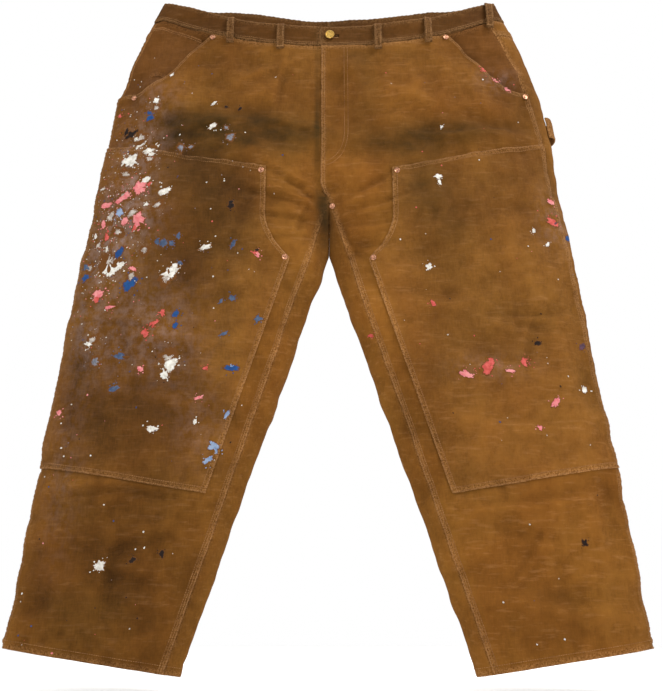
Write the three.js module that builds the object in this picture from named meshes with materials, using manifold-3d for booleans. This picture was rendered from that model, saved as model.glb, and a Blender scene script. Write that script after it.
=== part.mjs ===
// Double-front canvas work trousers, held upright at the waist. Millimetres, +Z up.
// The front faces -Y and the wearer's left is +X. The origin is at the middle of the waist opening.
import * as THREE from 'three';
import { mergeVertices } from 'three/addons/utils/BufferGeometryUtils.js';
import Module from 'manifold-3d';

// ---- Driving dimensions ----

// Outline of the garment, as half-widths and heights.
const WAIST_HALF_WIDTH = 300;
const HIP_HALF_WIDTH = 374;
const HEM_OUTER_HALF_WIDTH = 470;
const SIDE_WAIST_Z = 46;
const HIP_Z = -190;
const HEM_OUTER_Z = -1069;
const HIP_CURVE = 1.35;
const HEM_SLOPE = 0.152;
const NOTCH_Z = -455;
const INNER_FOLD_SLOPE = 0.327;

// Depth from the middle plane to the outer face, from waist to hem.
const DEPTH_LEVELS = [[0, 24], [-200, 38], [-620, 34], [-1090, 26]];
const SECTION_POWER = 3;

// Seams.
const CROTCH_Z = -365;
const INSEAM_SLOPE = 0.317;
const SEAT_CROSSING = 24;
const OUTSEAM_TURN_RIGHT = { waist: 0.05, hem: 0.05 };
const OUTSEAM_TURN_LEFT = { waist: 0.5, hem: 0.08 };
const SEAM_GAP = 0.5;
const CENTRE_GAP = 0.5;

// Long panels have a row of facets for about each of these heights.
const PANEL_ROW = 52.2;
const PANEL_ROWS = Math.round(-HEM_OUTER_Z / PANEL_ROW);

// Cloth.
const CANVAS = 1.4;
const LAYER_GAP = 1.5;
const BAND_THICKNESS = 2.4;
const LINING = 0.9;

// Waistband and yoke.
const FRONT_RISE_DIP = -20;
const FRONT_RISE_CURVE = 2.2;
const BACK_RISE = 27;
const BACK_RISE_REACH = 200;
const BAND_HEIGHT = 42;
const YOKE_CENTRE = 62;
const YOKE_SIDE = 34;

// Fly and waist button.
const FLY_EDGE_X = -14;
const FLY_FOLD_TOP_X = 60;
const FLY_FOLD_BASE_Z = -365;
const FLY_FOLD_TOP_Z = FRONT_RISE_DIP - BAND_HEIGHT;
const FLY_FOLD_CLEARANCE = 5;
const FLAP_LEAST_WIDTH = 9;
const FLY_FACING_X = [4, 34];
const FLY_FACING_BASE_Z = -310;
const FACING_LEAST_WIDTH = 2;
const FLAP_LIFT = 0.9;
const ZIP_HEADROOM = 14;
const ZIP_TOP_Z = FLY_FOLD_TOP_Z - ZIP_HEADROOM;
const ZIP_BASE_Z = -300;
const ZIP_Y = -15;
const ZIP_TAPE = { width: 9, thickness: 0.8 };
const ZIP_TEETH = { inner: 0.6, outer: 3, thickness: 1.8 };
const SLIDER = { width: 7, length: 9, plate: 1, gap: 0.4, neck: 0.6, neckLength: 5.4, below: 1 };
const PULL_TAB = { width: 5, length: 22, thickness: 1.1, pivot: 0.5 };
const SHIELD_Y = -9;
const SHIELD_X = [-34, 16];
const UNDERLAP_X = [-40, 26];
const BUTTON_ABOVE_MIDDLE = 1;
const BUTTON = {
  x: 1, z: FRONT_RISE_DIP - BAND_HEIGHT / 2 + BUTTON_ABOVE_MIDDLE, radius: 8.5, cap: 3.2, shankRadius: 2.6,
  rim: 1, rimRound: 0.6, rimWidth: 2.4, hollow: 0.8,
};
const TACK = { radius: 5.1, edge: 0.8, height: 1.6, clearance: 0.8 };
const BUTTONHOLE = { front: 4, back: 15, half: 3.4 };

// Belt loops.
const LOOP = { width: 13, above: -2, below: 15, thickness: 1.6, stand: 6.5 };
const LOOP_FRONT_INNER_X = 86;
const LOOP_FRONT_OUTER_X = 175;
const LOOP_SIDE_INSET = 14;
const LOOP_SIDE_X = WAIST_HALF_WIDTH - LOOP_SIDE_INSET;

// Pockets.
const MOUTH = { innerX: 207, outerX: 340, drop: 122, curve: 1.15 };
const POCKET_ROOM = 10;
const FACING_SINK_SHARE = 1 / 3;
const FACING_INNER_X = 196;
const FACING_BASE_DROP = 34;
const BAG = { innerX: 186, outerX: 338, topDrop: 56, baseZ: -330 };
const WATCH_POCKET = { innerX: 234, outerX: WAIST_HALF_WIDTH - 4, drop: 16, depth: 62 };
const BACK_POCKET = { innerX: 62, outerX: 232, topZ: -112, height: 178, bulge: 7, point: 12 };
const TOOL_POCKET = { start: -0.25, end: -1.05, topZ: -446, height: 170, bulge: 7 };
const HAMMER_LOOP = { start: 0.15, end: -0.8, topZ: -196, height: 40, stand: 24, thickness: 2 };

// Double fronts.
const DOUBLE_FRONT = {
  innerX: 105, topInnerZ: -308, topSlope: 0.19,
  scoopTopZ: -390, notchZ: -470, inseamMargin: 31,
  baseInnerX: 182, baseInnerZ: -850, baseSlope: 0.16,
};

// Rivets.
const RIVET = { radius: 4.8, height: 1.8, lift: 0.5, inset: 8, edge: 0.8, crown: 2.9 };
const POCKET_RIVET_INSET = 9.6;
const POCKET_RIVET_LIFT = 1.2;

// ---- Finishes ----

const FINISHES = {
  canvas: { color: 0x87572a, roughness: 0.92, metalness: 0 },
  lining: { color: 0xb79a6c, roughness: 0.95, metalness: 0 },
  tape: { color: 0x6b4524, roughness: 0.9, metalness: 0 },
  brass: { color: 0xc49a4a, roughness: 0.35, metalness: 1 },
  copper: { color: 0xb06a3a, roughness: 0.4, metalness: 1 },
};

// ---- Small helpers ----

const mix = THREE.MathUtils.lerp;
const clamp = THREE.MathUtils.clamp;

function smooth(t) {
  const s = clamp(t, 0, 1);
  return s * s * (3 - 2 * s);
}

// ---- The shape the cloth lies on ----
// One half of the body is a lens-shaped tube. A turn of 0 is the outer fold, +PI/2 is the middle of
// the front, -PI/2 the middle of the back, and +PI or -PI the inner fold.

function depthAt(z) {
  let depth = DEPTH_LEVELS[0][1];
  for (let i = 1; i < DEPTH_LEVELS.length; i += 1) {
    const [upperZ, upperDepth] = DEPTH_LEVELS[i - 1];
    const [lowerZ, lowerDepth] = DEPTH_LEVELS[i];
    if (z < upperZ) {
      depth = mix(upperDepth, lowerDepth, smooth((upperZ - z) / (upperZ - lowerZ)));
    }
  }
  return depth;
}

function outerFoldX(z) {
  if (z > HIP_Z) {
    const rise = (z - HIP_Z) / (SIDE_WAIST_Z - HIP_Z);
    return HIP_HALF_WIDTH - (HIP_HALF_WIDTH - WAIST_HALF_WIDTH) * rise ** HIP_CURVE;
  }
  const fall = (HIP_Z - z) / (HIP_Z - HEM_OUTER_Z);
  return mix(HIP_HALF_WIDTH, HEM_OUTER_HALF_WIDTH, fall);
}

const innerFoldX = (z) => INNER_FOLD_SLOPE * (NOTCH_Z - z);

const inseamX = (z) => Math.max(CENTRE_GAP, INSEAM_SLOPE * (CROTCH_Z - z));

function sectionAt(z) {
  const outer = outerFoldX(z);
  const inner = innerFoldX(z);
  return { middle: (outer + inner) / 2, reach: (outer - inner) / 2 };
}

// The turn at which the front of a section reaches x; the back has the same turn, negative.
function turnAt(x, z) {
  const { middle, reach } = sectionAt(z);
  return Math.acos(clamp((x - middle) / reach, -1, 1));
}

const xAt = (turn, z) => sectionAt(z).middle + sectionAt(z).reach * Math.cos(turn);

// A point on the shape. A piece with a lowestX presses flat against that plane where it would cross
// it. Any other piece that crosses the middle plane lies on the other half, which is its mirror.
function shapePoint(turn, z, lowestX) {
  const x = Math.max(lowestX, xAt(turn, z));
  const bulgeTurn = x < 0 ? turnAt(-x, z) : turn;
  const bulge = Math.sqrt(Math.max(0, 1 - Math.abs(Math.cos(bulgeTurn)) ** SECTION_POWER));
  return new THREE.Vector3(x, -depthAt(z) * bulge * Math.sign(Math.sin(turn)), z);
}

function outwardNormal(turn, z, lowestX) {
  const step = 0.004;
  const along = shapePoint(turn + step, z, lowestX).sub(shapePoint(turn - step, z, lowestX));
  const up = shapePoint(turn, z + 1, lowestX).sub(shapePoint(turn, z - 1, lowestX));
  return up.cross(along).normalize();
}

// ---- Lines on the garment ----

function waistTop(x, turn) {
  if (turn >= 0) {
    const rise = SIDE_WAIST_Z - FRONT_RISE_DIP;
    return FRONT_RISE_DIP + rise * Math.min(1, Math.abs(x) / WAIST_HALF_WIDTH) ** FRONT_RISE_CURVE;
  }
  const reach = clamp(x / BACK_RISE_REACH, 0, 1);
  return BACK_RISE + (SIDE_WAIST_Z - BACK_RISE) * Math.sin(reach * Math.PI / 2) ** 2;
}

const bandBase = (x, turn) => waistTop(x, turn) - BAND_HEIGHT;

const hemLine = (x) => HEM_OUTER_Z - HEM_SLOPE * (HEM_OUTER_HALF_WIDTH - x);

function yokeLine(x, turn) {
  const share = turn < 0 ? clamp(x / WAIST_HALF_WIDTH, 0, 1) : 1;
  return bandBase(x, turn) - SEAM_GAP - mix(YOKE_CENTRE, YOKE_SIDE, share);
}

function mouthLine(x) {
  const share = clamp((x - MOUTH.innerX) / (MOUTH.outerX - MOUTH.innerX), 0, 1);
  return bandBase(MOUTH.innerX, 1) - MOUTH.drop * Math.sin(share * Math.PI / 2) ** MOUTH.curve;
}

const frontTop = (x) => Math.min(bandBase(x, 1), mouthLine(x)) - SEAM_GAP;

const outseamTurn = (turn, z) => mix(turn.waist, turn.hem, clamp(z / HEM_OUTER_Z, 0, 1));

const flyFoldX = (z) => FLY_FOLD_TOP_X * clamp(
  (z - FLY_FOLD_BASE_Z) / (FLY_FOLD_TOP_Z - FLY_FOLD_BASE_Z), 0, 1,
);

function doubleFrontTop(x) {
  return DOUBLE_FRONT.topInnerZ + DOUBLE_FRONT.topSlope * (x - DOUBLE_FRONT.innerX);
}

function doubleFrontBase(x) {
  return DOUBLE_FRONT.baseInnerZ + DOUBLE_FRONT.baseSlope * (x - DOUBLE_FRONT.baseInnerX);
}

function doubleFrontInnerX(z) {
  const notchX = inseamX(DOUBLE_FRONT.notchZ) + DOUBLE_FRONT.inseamMargin;
  if (z < DOUBLE_FRONT.notchZ) {
    return inseamX(z) + DOUBLE_FRONT.inseamMargin;
  }
  const { scoopTopZ, notchZ } = DOUBLE_FRONT;
  const scoop = clamp((scoopTopZ - z) / (scoopTopZ - notchZ), 0, 1);
  return mix(DOUBLE_FRONT.innerX, notchX, scoop * scoop);
}

// ---- Cloth pieces ----
// A piece runs from turn `from(z)` to turn `to(z)` and from height `top(x, turn)` down to
// `base(x, turn)`. Its inner face stands `lift(u, v)` off the shape, and it is `thickness` thick.

function clothGeometry(piece) {
  const lowestX = piece.lowestX ?? -Infinity;
  const box = new THREE.BoxGeometry(1, 1, 1, piece.across, piece.down, 1);
  box.deleteAttribute('normal');
  box.deleteAttribute('uv');
  const geometry = mergeVertices(box);
  const position = geometry.attributes.position;
  for (let i = 0; i < position.count; i += 1) {
    const u = position.getX(i) + 0.5;
    const v = 0.5 - position.getY(i);
    const w = position.getZ(i) + 0.5;
    let z = mix(0, HEM_OUTER_Z, v);
    let turn = 0;
    for (let pass = 0; pass < 4; pass += 1) {
      turn = mix(piece.from(z), piece.to(z), u);
      const x = Math.max(lowestX, xAt(turn, z));
      z = mix(piece.top(x, turn), piece.base(x, turn), v);
    }
    const lift = piece.lift(u, v) + w * piece.thickness;
    const point = shapePoint(turn, z, lowestX);
    point.addScaledVector(outwardNormal(turn, z, lowestX), lift);
    position.setXYZ(i, point.x * piece.side, point.y, point.z);
  }
  return faceOut(geometry);
}

function signedVolume(geometry) {
  const position = geometry.attributes.position;
  const index = geometry.index;
  const corners = [new THREE.Vector3(), new THREE.Vector3(), new THREE.Vector3()];
  let volume = 0;
  for (let i = 0; i < index.count; i += 3) {
    corners.forEach((corner, k) => corner.fromBufferAttribute(position, index.getX(i + k)));
    volume += corners[0].dot(corners[1].clone().cross(corners[2])) / 6;
  }
  return volume;
}

function faceOut(geometry) {
  if (signedVolume(geometry) < 0) {
    const index = geometry.index;
    for (let i = 0; i < index.count; i += 3) {
      const second = index.getX(i + 1);
      index.setX(i + 1, index.getX(i + 2));
      index.setX(i + 2, second);
    }
  }
  return geometry;
}

const level = (height) => () => height;

// A patch pocket's front stands off the cloth in the middle of its mouth and meets it at its edges.
const gaping = (bulge) => (u, v) => LAYER_GAP + bulge * Math.sin(Math.PI * u) ** 0.6 * (1 - v * v);

// A strap's middle stands off the cloth and both its ends meet it.
const standing = (stand) => (u, v) => LAYER_GAP + stand * Math.sin(Math.PI * v) ** 0.5;

// ---- Rivets and other small fittings ----

function discGeometry(profile, sides) {
  const points = profile.map(([radius, height]) => new THREE.Vector2(radius, height));
  const lathe = new THREE.LatheGeometry(points, sides);
  lathe.deleteAttribute('normal');
  lathe.deleteAttribute('uv');
  return faceOut(mergeVertices(lathe));
}

// Turns a lathed piece so that its axis points along the normal, and puts its base at the point.
function seat(mesh, point, normal) {
  mesh.position.copy(point);
  mesh.quaternion.setFromUnitVectors(new THREE.Vector3(0, 1, 0), normal);
  return mesh;
}

function rivetGeometry() {
  const { radius, height, edge, crown } = RIVET;
  return discGeometry([[0, 0], [radius, 0], [radius, edge], [crown, height], [0, height]], 12);
}

function boxGeometry(low, high) {
  const box = new THREE.BoxGeometry(high[0] - low[0], high[1] - low[1], high[2] - low[2]);
  box.deleteAttribute('normal');
  box.deleteAttribute('uv');
  box.translate((low[0] + high[0]) / 2, (low[1] + high[1]) / 2, (low[2] + high[2]) / 2);
  return mergeVertices(box);
}

// ---- Cuts and joins ----

const wasm = await Module();
wasm.setup();

function toSolid(geometry) {
  return new wasm.Manifold(new wasm.Mesh({
    numProp: 3,
    vertProperties: new Float32Array(geometry.attributes.position.array),
    triVerts: new Uint32Array(geometry.index.array),
  }));
}

function toGeometry(solid) {
  const mesh = solid.getMesh();
  const geometry = new THREE.BufferGeometry();
  geometry.setAttribute('position', new THREE.BufferAttribute(mesh.vertProperties, 3));
  geometry.setIndex(new THREE.BufferAttribute(mesh.triVerts, 1));
  return geometry;
}

// ---- Assembly ----

const group = new THREE.Group();

function add(name, geometry, finish) {
  const mesh = new THREE.Mesh(geometry, new THREE.MeshStandardMaterial(FINISHES[finish]));
  mesh.name = name;
  group.add(mesh);
  return mesh;
}

const SIDES = [
  { name: 'right', side: -1, outseam: OUTSEAM_TURN_RIGHT },
  { name: 'left', side: 1, outseam: OUTSEAM_TURN_LEFT },
];

function addPanels({ name, side, outseam }) {
  const foldedBack = side > 0 ? (z) => flyFoldX(z) + SEAM_GAP : () => 0;
  const underFly = side < 0 ? FLY_FOLD_CLEARANCE : 0;
  const overCrotch = (z) => Math.max(underFly, foldedBack(z), CENTRE_GAP);
  const frontEdge = (z) => (z > CROTCH_Z ? overCrotch(z) : inseamX(z) + SEAM_GAP);
  const outer = (z) => outseamTurn(outseam, z);
  const seamTurn = SEAM_GAP / depthAt(HIP_Z);

  add(`front_panel_${name}`, clothGeometry({
    side, across: 13, down: PANEL_ROWS, thickness: CANVAS, lift: level(-CANVAS),
    from: (z) => outer(z) + seamTurn,
    to: (z) => turnAt(frontEdge(z), z),
    top: frontTop,
    base: hemLine,
  }), 'canvas');

  add(`double_front_${name}`, clothGeometry({
    side, across: 10, down: 13, thickness: CANVAS, lift: level(LAYER_GAP),
    from: (z) => outer(z) + seamTurn,
    to: (z) => turnAt(doubleFrontInnerX(z), z),
    top: doubleFrontTop,
    base: doubleFrontBase,
  }), 'canvas');

  const backEnd = (z) => {
    const overBack = turnAt(CENTRE_GAP, z);
    const throughCrotch = 2 * Math.PI - turnAt(inseamX(z), z);
    return -mix(overBack, throughCrotch, smooth((CROTCH_Z + SEAT_CROSSING - z) / SEAT_CROSSING));
  };
  add(`back_panel_${name}`, clothGeometry({
    side, across: 18, down: 20, thickness: CANVAS, lift: level(-CANVAS), lowestX: CENTRE_GAP,
    from: (z) => outer(z) - seamTurn,
    to: backEnd,
    top: (x, turn) => yokeLine(x, turn) - SEAM_GAP,
    base: hemLine,
  }), 'canvas');

  add(`back_yoke_${name}`, clothGeometry({
    side, across: 14, down: 2, thickness: CANVAS, lift: level(-CANVAS), lowestX: CENTRE_GAP,
    from: (z) => outer(z) - seamTurn,
    to: (z) => -turnAt(CENTRE_GAP, z),
    top: (x, turn) => bandBase(x, turn) - SEAM_GAP,
    base: yokeLine,
  }), 'canvas');
}

function addWaistband({ name, side }) {
  const frontX = side > 0 ? FLY_FOLD_TOP_X + SEAM_GAP : SEAM_GAP - FLY_EDGE_X;
  add(`waistband_${name}`, clothGeometry({
    side, across: 30, down: 2, thickness: BAND_THICKNESS, lift: level(-BAND_THICKNESS / 2),
    lowestX: CENTRE_GAP,
    from: (z) => turnAt(frontX, z),
    to: (z) => -turnAt(CENTRE_GAP, z),
    top: waistTop,
    base: bandBase,
  }), 'canvas');
}

function addFrontPocket({ name, side, outseam }) {
  const outer = (z) => outseamTurn(outseam, z) + SEAM_GAP / depthAt(HIP_Z);
  // The facing starts just behind the front at the waistband and the outseam, and sinks behind the mouth.
  const sunk = (u, v) => smooth(u / FACING_SINK_SHARE) * smooth(v / FACING_SINK_SHARE);
  const sink = (u, v) => -2 * CANVAS - SEAM_GAP - (POCKET_ROOM - CANVAS) * sunk(u, v);
  add(`pocket_facing_${name}`, clothGeometry({
    side, across: 10, down: 8, thickness: CANVAS, lift: sink,
    from: outer,
    to: (z) => turnAt(FACING_INNER_X, z),
    top: (x) => bandBase(x, 1) - SEAM_GAP,
    base: (x) => mouthLine(x) - FACING_BASE_DROP,
  }), 'canvas');

  const bagDepth = POCKET_ROOM + 2 * CANVAS + 2 * LAYER_GAP;
  add(`pocket_bag_${name}`, clothGeometry({
    side, across: 8, down: 8, thickness: LINING, lift: level(-bagDepth - LINING),
    from: (z) => turnAt(BAG.outerX, z),
    to: (z) => turnAt(BAG.innerX, z),
    top: (x) => bandBase(x, 1) - BAG.topDrop,
    base: () => BAG.baseZ,
  }), 'lining');
}

function addBackPocket({ name, side }) {
  const middle = (BACK_POCKET.innerX + BACK_POCKET.outerX) / 2;
  const half = (BACK_POCKET.outerX - BACK_POCKET.innerX) / 2;
  add(`back_pocket_${name}`, clothGeometry({
    side, across: 10, down: 6, thickness: CANVAS, lift: gaping(BACK_POCKET.bulge),
    from: (z) => -turnAt(BACK_POCKET.outerX, z),
    to: (z) => -turnAt(BACK_POCKET.innerX, z),
    top: () => BACK_POCKET.topZ,
    base: (x) => BACK_POCKET.topZ - BACK_POCKET.height
      + BACK_POCKET.point * (Math.abs(x - middle) / half),
  }), 'canvas');
}

SIDES.forEach(addPanels);
SIDES.forEach(addWaistband);
SIDES.forEach(addFrontPocket);
SIDES.forEach(addBackPocket);

// The watch pocket stands in front of the right pocket facing, level with the front panel.
add('watch_pocket', clothGeometry({
  side: -1, across: 5, down: 4, thickness: LINING, lift: level(-CANVAS - LINING / 2),
  from: (z) => turnAt(WATCH_POCKET.outerX, z),
  to: (z) => turnAt(WATCH_POCKET.innerX, z),
  top: (x) => bandBase(x, 1) - WATCH_POCKET.drop,
  base: (x) => Math.max(mouthLine(x) + RIVET.inset, bandBase(x, 1) - WATCH_POCKET.drop - WATCH_POCKET.depth),
}), 'canvas');

add('tool_pocket_left', clothGeometry({
  side: 1, across: 8, down: 6, thickness: CANVAS, lift: gaping(TOOL_POCKET.bulge),
  from: level(TOOL_POCKET.start),
  to: level(TOOL_POCKET.end),
  top: level(TOOL_POCKET.topZ),
  base: level(TOOL_POCKET.topZ - TOOL_POCKET.height),
}), 'canvas');

add('hammer_loop', clothGeometry({
  side: 1, across: 16, down: 2, thickness: HAMMER_LOOP.thickness,
  lift: (u) => LAYER_GAP + HAMMER_LOOP.stand * Math.sin(Math.PI * u) ** 0.8,
  from: level(HAMMER_LOOP.start),
  to: level(HAMMER_LOOP.end),
  top: level(HAMMER_LOOP.topZ),
  base: level(HAMMER_LOOP.topZ - HAMMER_LOOP.height),
}), 'canvas');

// ---- Belt loops ----

const BELT_LOOPS = [
  { name: 'front_right_inner', side: -1, face: 1, x: LOOP_FRONT_INNER_X },
  { name: 'front_right_outer', side: -1, face: 1, x: LOOP_FRONT_OUTER_X },
  { name: 'front_left_inner', side: 1, face: 1, x: LOOP_FRONT_INNER_X },
  { name: 'front_left_outer', side: 1, face: 1, x: LOOP_FRONT_OUTER_X },
  { name: 'side_left', side: 1, face: 1, x: LOOP_SIDE_X },
  { name: 'side_right', side: -1, face: -1, x: LOOP_SIDE_X },
  { name: 'centre_back', side: 1, face: -1, x: 0 },
];

BELT_LOOPS.forEach(({ name, side, face, x }) => {
  add(`belt_loop_${name}`, clothGeometry({
    side, across: 2, down: 10, thickness: LOOP.thickness,
    lift: (u, v) => BAND_THICKNESS / 2 + standing(LOOP.stand)(u, v) - LAYER_GAP / 2,
    from: (z) => face * turnAt(x + LOOP.width / 2, z),
    to: (z) => face * turnAt(x - LOOP.width / 2, z),
    top: () => waistTop(x, face) + LOOP.above,
    base: () => bandBase(x, face) - LOOP.below,
  }), 'canvas');
});

// ---- Fly ----

add('fly_flap', clothGeometry({
  side: 1, across: 6, down: 12, thickness: CANVAS, lift: level(FLAP_LIFT),
  from: (z) => turnAt(Math.max(flyFoldX(z) - FLY_FOLD_CLEARANCE, FLY_EDGE_X + FLAP_LEAST_WIDTH), z),
  to: (z) => turnAt(FLY_EDGE_X, z),
  top: () => FLY_FOLD_TOP_Z - 2 * SEAM_GAP,
  base: () => FLY_FOLD_BASE_Z + RIVET.inset,
}), 'canvas');

add('fly_facing', clothGeometry({
  side: 1, across: 3, down: 10, thickness: CANVAS, lift: level(FLAP_LIFT - CANVAS - SEAM_GAP),
  from: (z) => turnAt(
    clamp(flyFoldX(z) - FLY_FOLD_CLEARANCE, FLY_FACING_X[0] + FACING_LEAST_WIDTH, FLY_FACING_X[1]), z,
  ),
  to: (z) => turnAt(FLY_FACING_X[0], z),
  top: () => FLY_FOLD_TOP_Z - 2 * SEAM_GAP,
  base: () => FLY_FACING_BASE_Z,
}), 'lining');

add('fly_shield', boxGeometry(
  [SHIELD_X[0], SHIELD_Y - CANVAS, FLY_FACING_BASE_Z],
  [SHIELD_X[1], SHIELD_Y, FLY_FOLD_TOP_Z - BAND_THICKNESS],
), 'canvas');

SIDES.forEach(({ name, side }) => {
  const spans = {
    tape: [ZIP_TEETH.outer + SEAM_GAP, ZIP_TEETH.outer + SEAM_GAP + ZIP_TAPE.width],
    teeth: [ZIP_TEETH.inner, ZIP_TEETH.outer],
  };
  const strip = ([near, far], thickness) => boxGeometry(
    [Math.min(side * near, side * far), ZIP_Y - thickness / 2, ZIP_BASE_Z],
    [Math.max(side * near, side * far), ZIP_Y + thickness / 2, ZIP_TOP_Z],
  );
  add(`zip_tape_${name}`, strip(spans.tape, ZIP_TAPE.thickness), 'tape');
  add(`zip_teeth_${name}`, strip(spans.teeth, ZIP_TEETH.thickness), 'brass');
});

add('zip_bottom_stop', boxGeometry(
  [-ZIP_TEETH.outer, ZIP_Y - ZIP_TEETH.thickness / 2, ZIP_BASE_Z - SEAM_GAP - ZIP_TEETH.outer],
  [ZIP_TEETH.outer, ZIP_Y + ZIP_TEETH.thickness / 2, ZIP_BASE_Z - SEAM_GAP],
), 'brass');

function sliderGeometry() {
  const half = SLIDER.width / 2;
  const inner = ZIP_TEETH.thickness / 2 + SLIDER.gap;
  const top = ZIP_TOP_Z - SLIDER.below;
  const base = top - SLIDER.length;
  const front = boxGeometry([-half, ZIP_Y - inner - SLIDER.plate, base], [half, ZIP_Y - inner, top]);
  const back = boxGeometry([-half, ZIP_Y + inner, base], [half, ZIP_Y + inner + SLIDER.plate, top]);
  const neck = boxGeometry(
    [-SLIDER.neck / 2, ZIP_Y - inner - SLIDER.plate / 2, top - SLIDER.neckLength],
    [SLIDER.neck / 2, ZIP_Y + inner + SLIDER.plate / 2, top],
  );
  return toGeometry(toSolid(front).add(toSolid(back)).add(toSolid(neck)));
}

add('zip_slider', sliderGeometry(), 'brass');

const sliderFace = ZIP_Y - ZIP_TEETH.thickness / 2 - SLIDER.gap - SLIDER.plate;
const tabTop = ZIP_TOP_Z - SLIDER.length / 2 + PULL_TAB.pivot;
add('zip_pull_tab', boxGeometry(
  [-PULL_TAB.width / 2, sliderFace - SLIDER.gap - PULL_TAB.thickness, tabTop - PULL_TAB.length],
  [PULL_TAB.width / 2, sliderFace - SLIDER.gap, tabTop],
), 'brass');

// ---- Waistband end, button and what it fastens to ----

const bandEnd = clothGeometry({
  side: 1, across: 6, down: 2, thickness: BAND_THICKNESS, lift: level(-BAND_THICKNESS / 2),
  from: (z) => turnAt(FLY_FOLD_TOP_X - FLY_FOLD_CLEARANCE, z),
  to: (z) => turnAt(FLY_EDGE_X, z),
  top: waistTop,
  base: bandBase,
});
const buttonholeCut = boxGeometry(
  [BUTTON.x - BUTTONHOLE.front, -depthAt(0) - 3 * BAND_THICKNESS, BUTTON.z - BUTTONHOLE.half],
  [BUTTON.x + BUTTONHOLE.back, -depthAt(0) + 3 * BAND_THICKNESS, BUTTON.z + BUTTONHOLE.half],
);
add('waistband_end', toGeometry(toSolid(bandEnd).subtract(toSolid(buttonholeCut))), 'canvas');

const UNDERLAP_DEPTH = BAND_THICKNESS / 2 + LAYER_GAP + CANVAS;
add('waistband_underlap', clothGeometry({
  side: 1, across: 4, down: 2, thickness: CANVAS, lift: level(-UNDERLAP_DEPTH),
  from: (z) => turnAt(UNDERLAP_X[1], z),
  to: (z) => turnAt(UNDERLAP_X[0], z),
  top: waistTop,
  base: bandBase,
}), 'canvas');

const buttonTurn = turnAt(BUTTON.x, BUTTON.z);
const bandFace = shapePoint(buttonTurn, BUTTON.z, -Infinity);
const ahead = new THREE.Vector3(0, -1, 0);
const shankLength = BAND_THICKNESS + 2 * LAYER_GAP;

// The cap, its rolled rim and the shank that goes through the buttonhole.
add('waist_button', discGeometry([
  [0, 0],
  [BUTTON.shankRadius, 0],
  [BUTTON.shankRadius, shankLength],
  [BUTTON.radius - BUTTON.rim, shankLength],
  [BUTTON.radius, shankLength + BUTTON.rim],
  [BUTTON.radius - BUTTON.rimRound, shankLength + BUTTON.cap - BUTTON.rimRound],
  [BUTTON.radius - BUTTON.rimWidth, shankLength + BUTTON.cap],
  [0, shankLength + BUTTON.cap - BUTTON.hollow],
], 24), 'brass');
seat(
  group.getObjectByName('waist_button'),
  new THREE.Vector3(BUTTON.x, bandFace.y + BAND_THICKNESS / 2 + LAYER_GAP - SEAM_GAP, BUTTON.z),
  ahead,
);

add('button_tack', discGeometry([
  [0, 0],
  [TACK.radius, 0],
  [TACK.radius, TACK.edge],
  [0, TACK.height],
], 16), 'brass');
seat(
  group.getObjectByName('button_tack'),
  new THREE.Vector3(BUTTON.x, bandFace.y + UNDERLAP_DEPTH + TACK.clearance, BUTTON.z),
  ahead.clone().negate(),
);

// ---- Rivets ----

const overDoubleFront = LAYER_GAP + CANVAS;
const mouthStartZ = mouthLine(MOUTH.innerX) - RIVET.inset;
const mouthEndZ = mouthLine(MOUTH.outerX) - RIVET.inset;
const RIVETS = [
  { name: 'pocket_upper', x: MOUTH.innerX, z: mouthStartZ, face: 1, over: 0 },
  { name: 'pocket_lower', x: MOUTH.outerX, z: mouthEndZ, face: 1, over: 0 },
  {
    name: 'double_front_upper', face: 1, over: overDoubleFront,
    x: DOUBLE_FRONT.innerX + RIVET.inset,
    z: doubleFrontTop(DOUBLE_FRONT.innerX) - RIVET.inset,
  },
  {
    name: 'double_front_lower', face: 1, over: overDoubleFront,
    x: doubleFrontInnerX(DOUBLE_FRONT.notchZ) + RIVET.inset,
    z: DOUBLE_FRONT.notchZ,
  },
  {
    name: 'back_pocket_inner', face: -1, over: LAYER_GAP + CANVAS,
    x: BACK_POCKET.innerX + POCKET_RIVET_INSET,
    z: BACK_POCKET.topZ - RIVET.inset,
  },
  {
    name: 'back_pocket_outer', face: -1, over: LAYER_GAP + CANVAS,
    x: BACK_POCKET.outerX - POCKET_RIVET_INSET,
    z: BACK_POCKET.topZ - RIVET.inset,
  },
];

function addRivet(name, side, face, x, z, over) {
  const turn = face * turnAt(x, z);
  const normal = outwardNormal(turn, z, -Infinity);
  const point = shapePoint(turn, z, -Infinity).addScaledVector(normal, over + RIVET.lift);
  point.x *= side;
  normal.x *= side;
  seat(add(name, rivetGeometry(), 'copper'), point, normal);
}

SIDES.forEach(({ name: sideName, side }) => {
  RIVETS.forEach(({ name, x, z, face, over }) => {
    // A pocket front bulges away from its edges, so its rivets ride on that swell.
    const swell = name.startsWith('back') ? pocketSwell(x, z) : 0;
    addRivet(`rivet_${name}_${sideName}`, side, face, x, z, over + swell);
  });
});

function pocketSwell(x, z) {
  const outer = turnAt(BACK_POCKET.outerX, z);
  const inner = turnAt(BACK_POCKET.innerX, z);
  const u = (turnAt(x, z) - outer) / (inner - outer);
  const v = (BACK_POCKET.topZ - z) / BACK_POCKET.height;
  return gaping(BACK_POCKET.bulge)(u, v) - LAYER_GAP + POCKET_RIVET_LIFT;
}

addRivet('rivet_crotch', 1, 1, RIVET.radius + SEAM_GAP, CROTCH_Z - RIVET.inset, 0);

export default group;
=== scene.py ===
"""Double-front canvas work trousers: cloth, stitching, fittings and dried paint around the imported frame."""
import logging
import math
from dataclasses import dataclass, field
from enum import Enum
from typing import Callable

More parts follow.
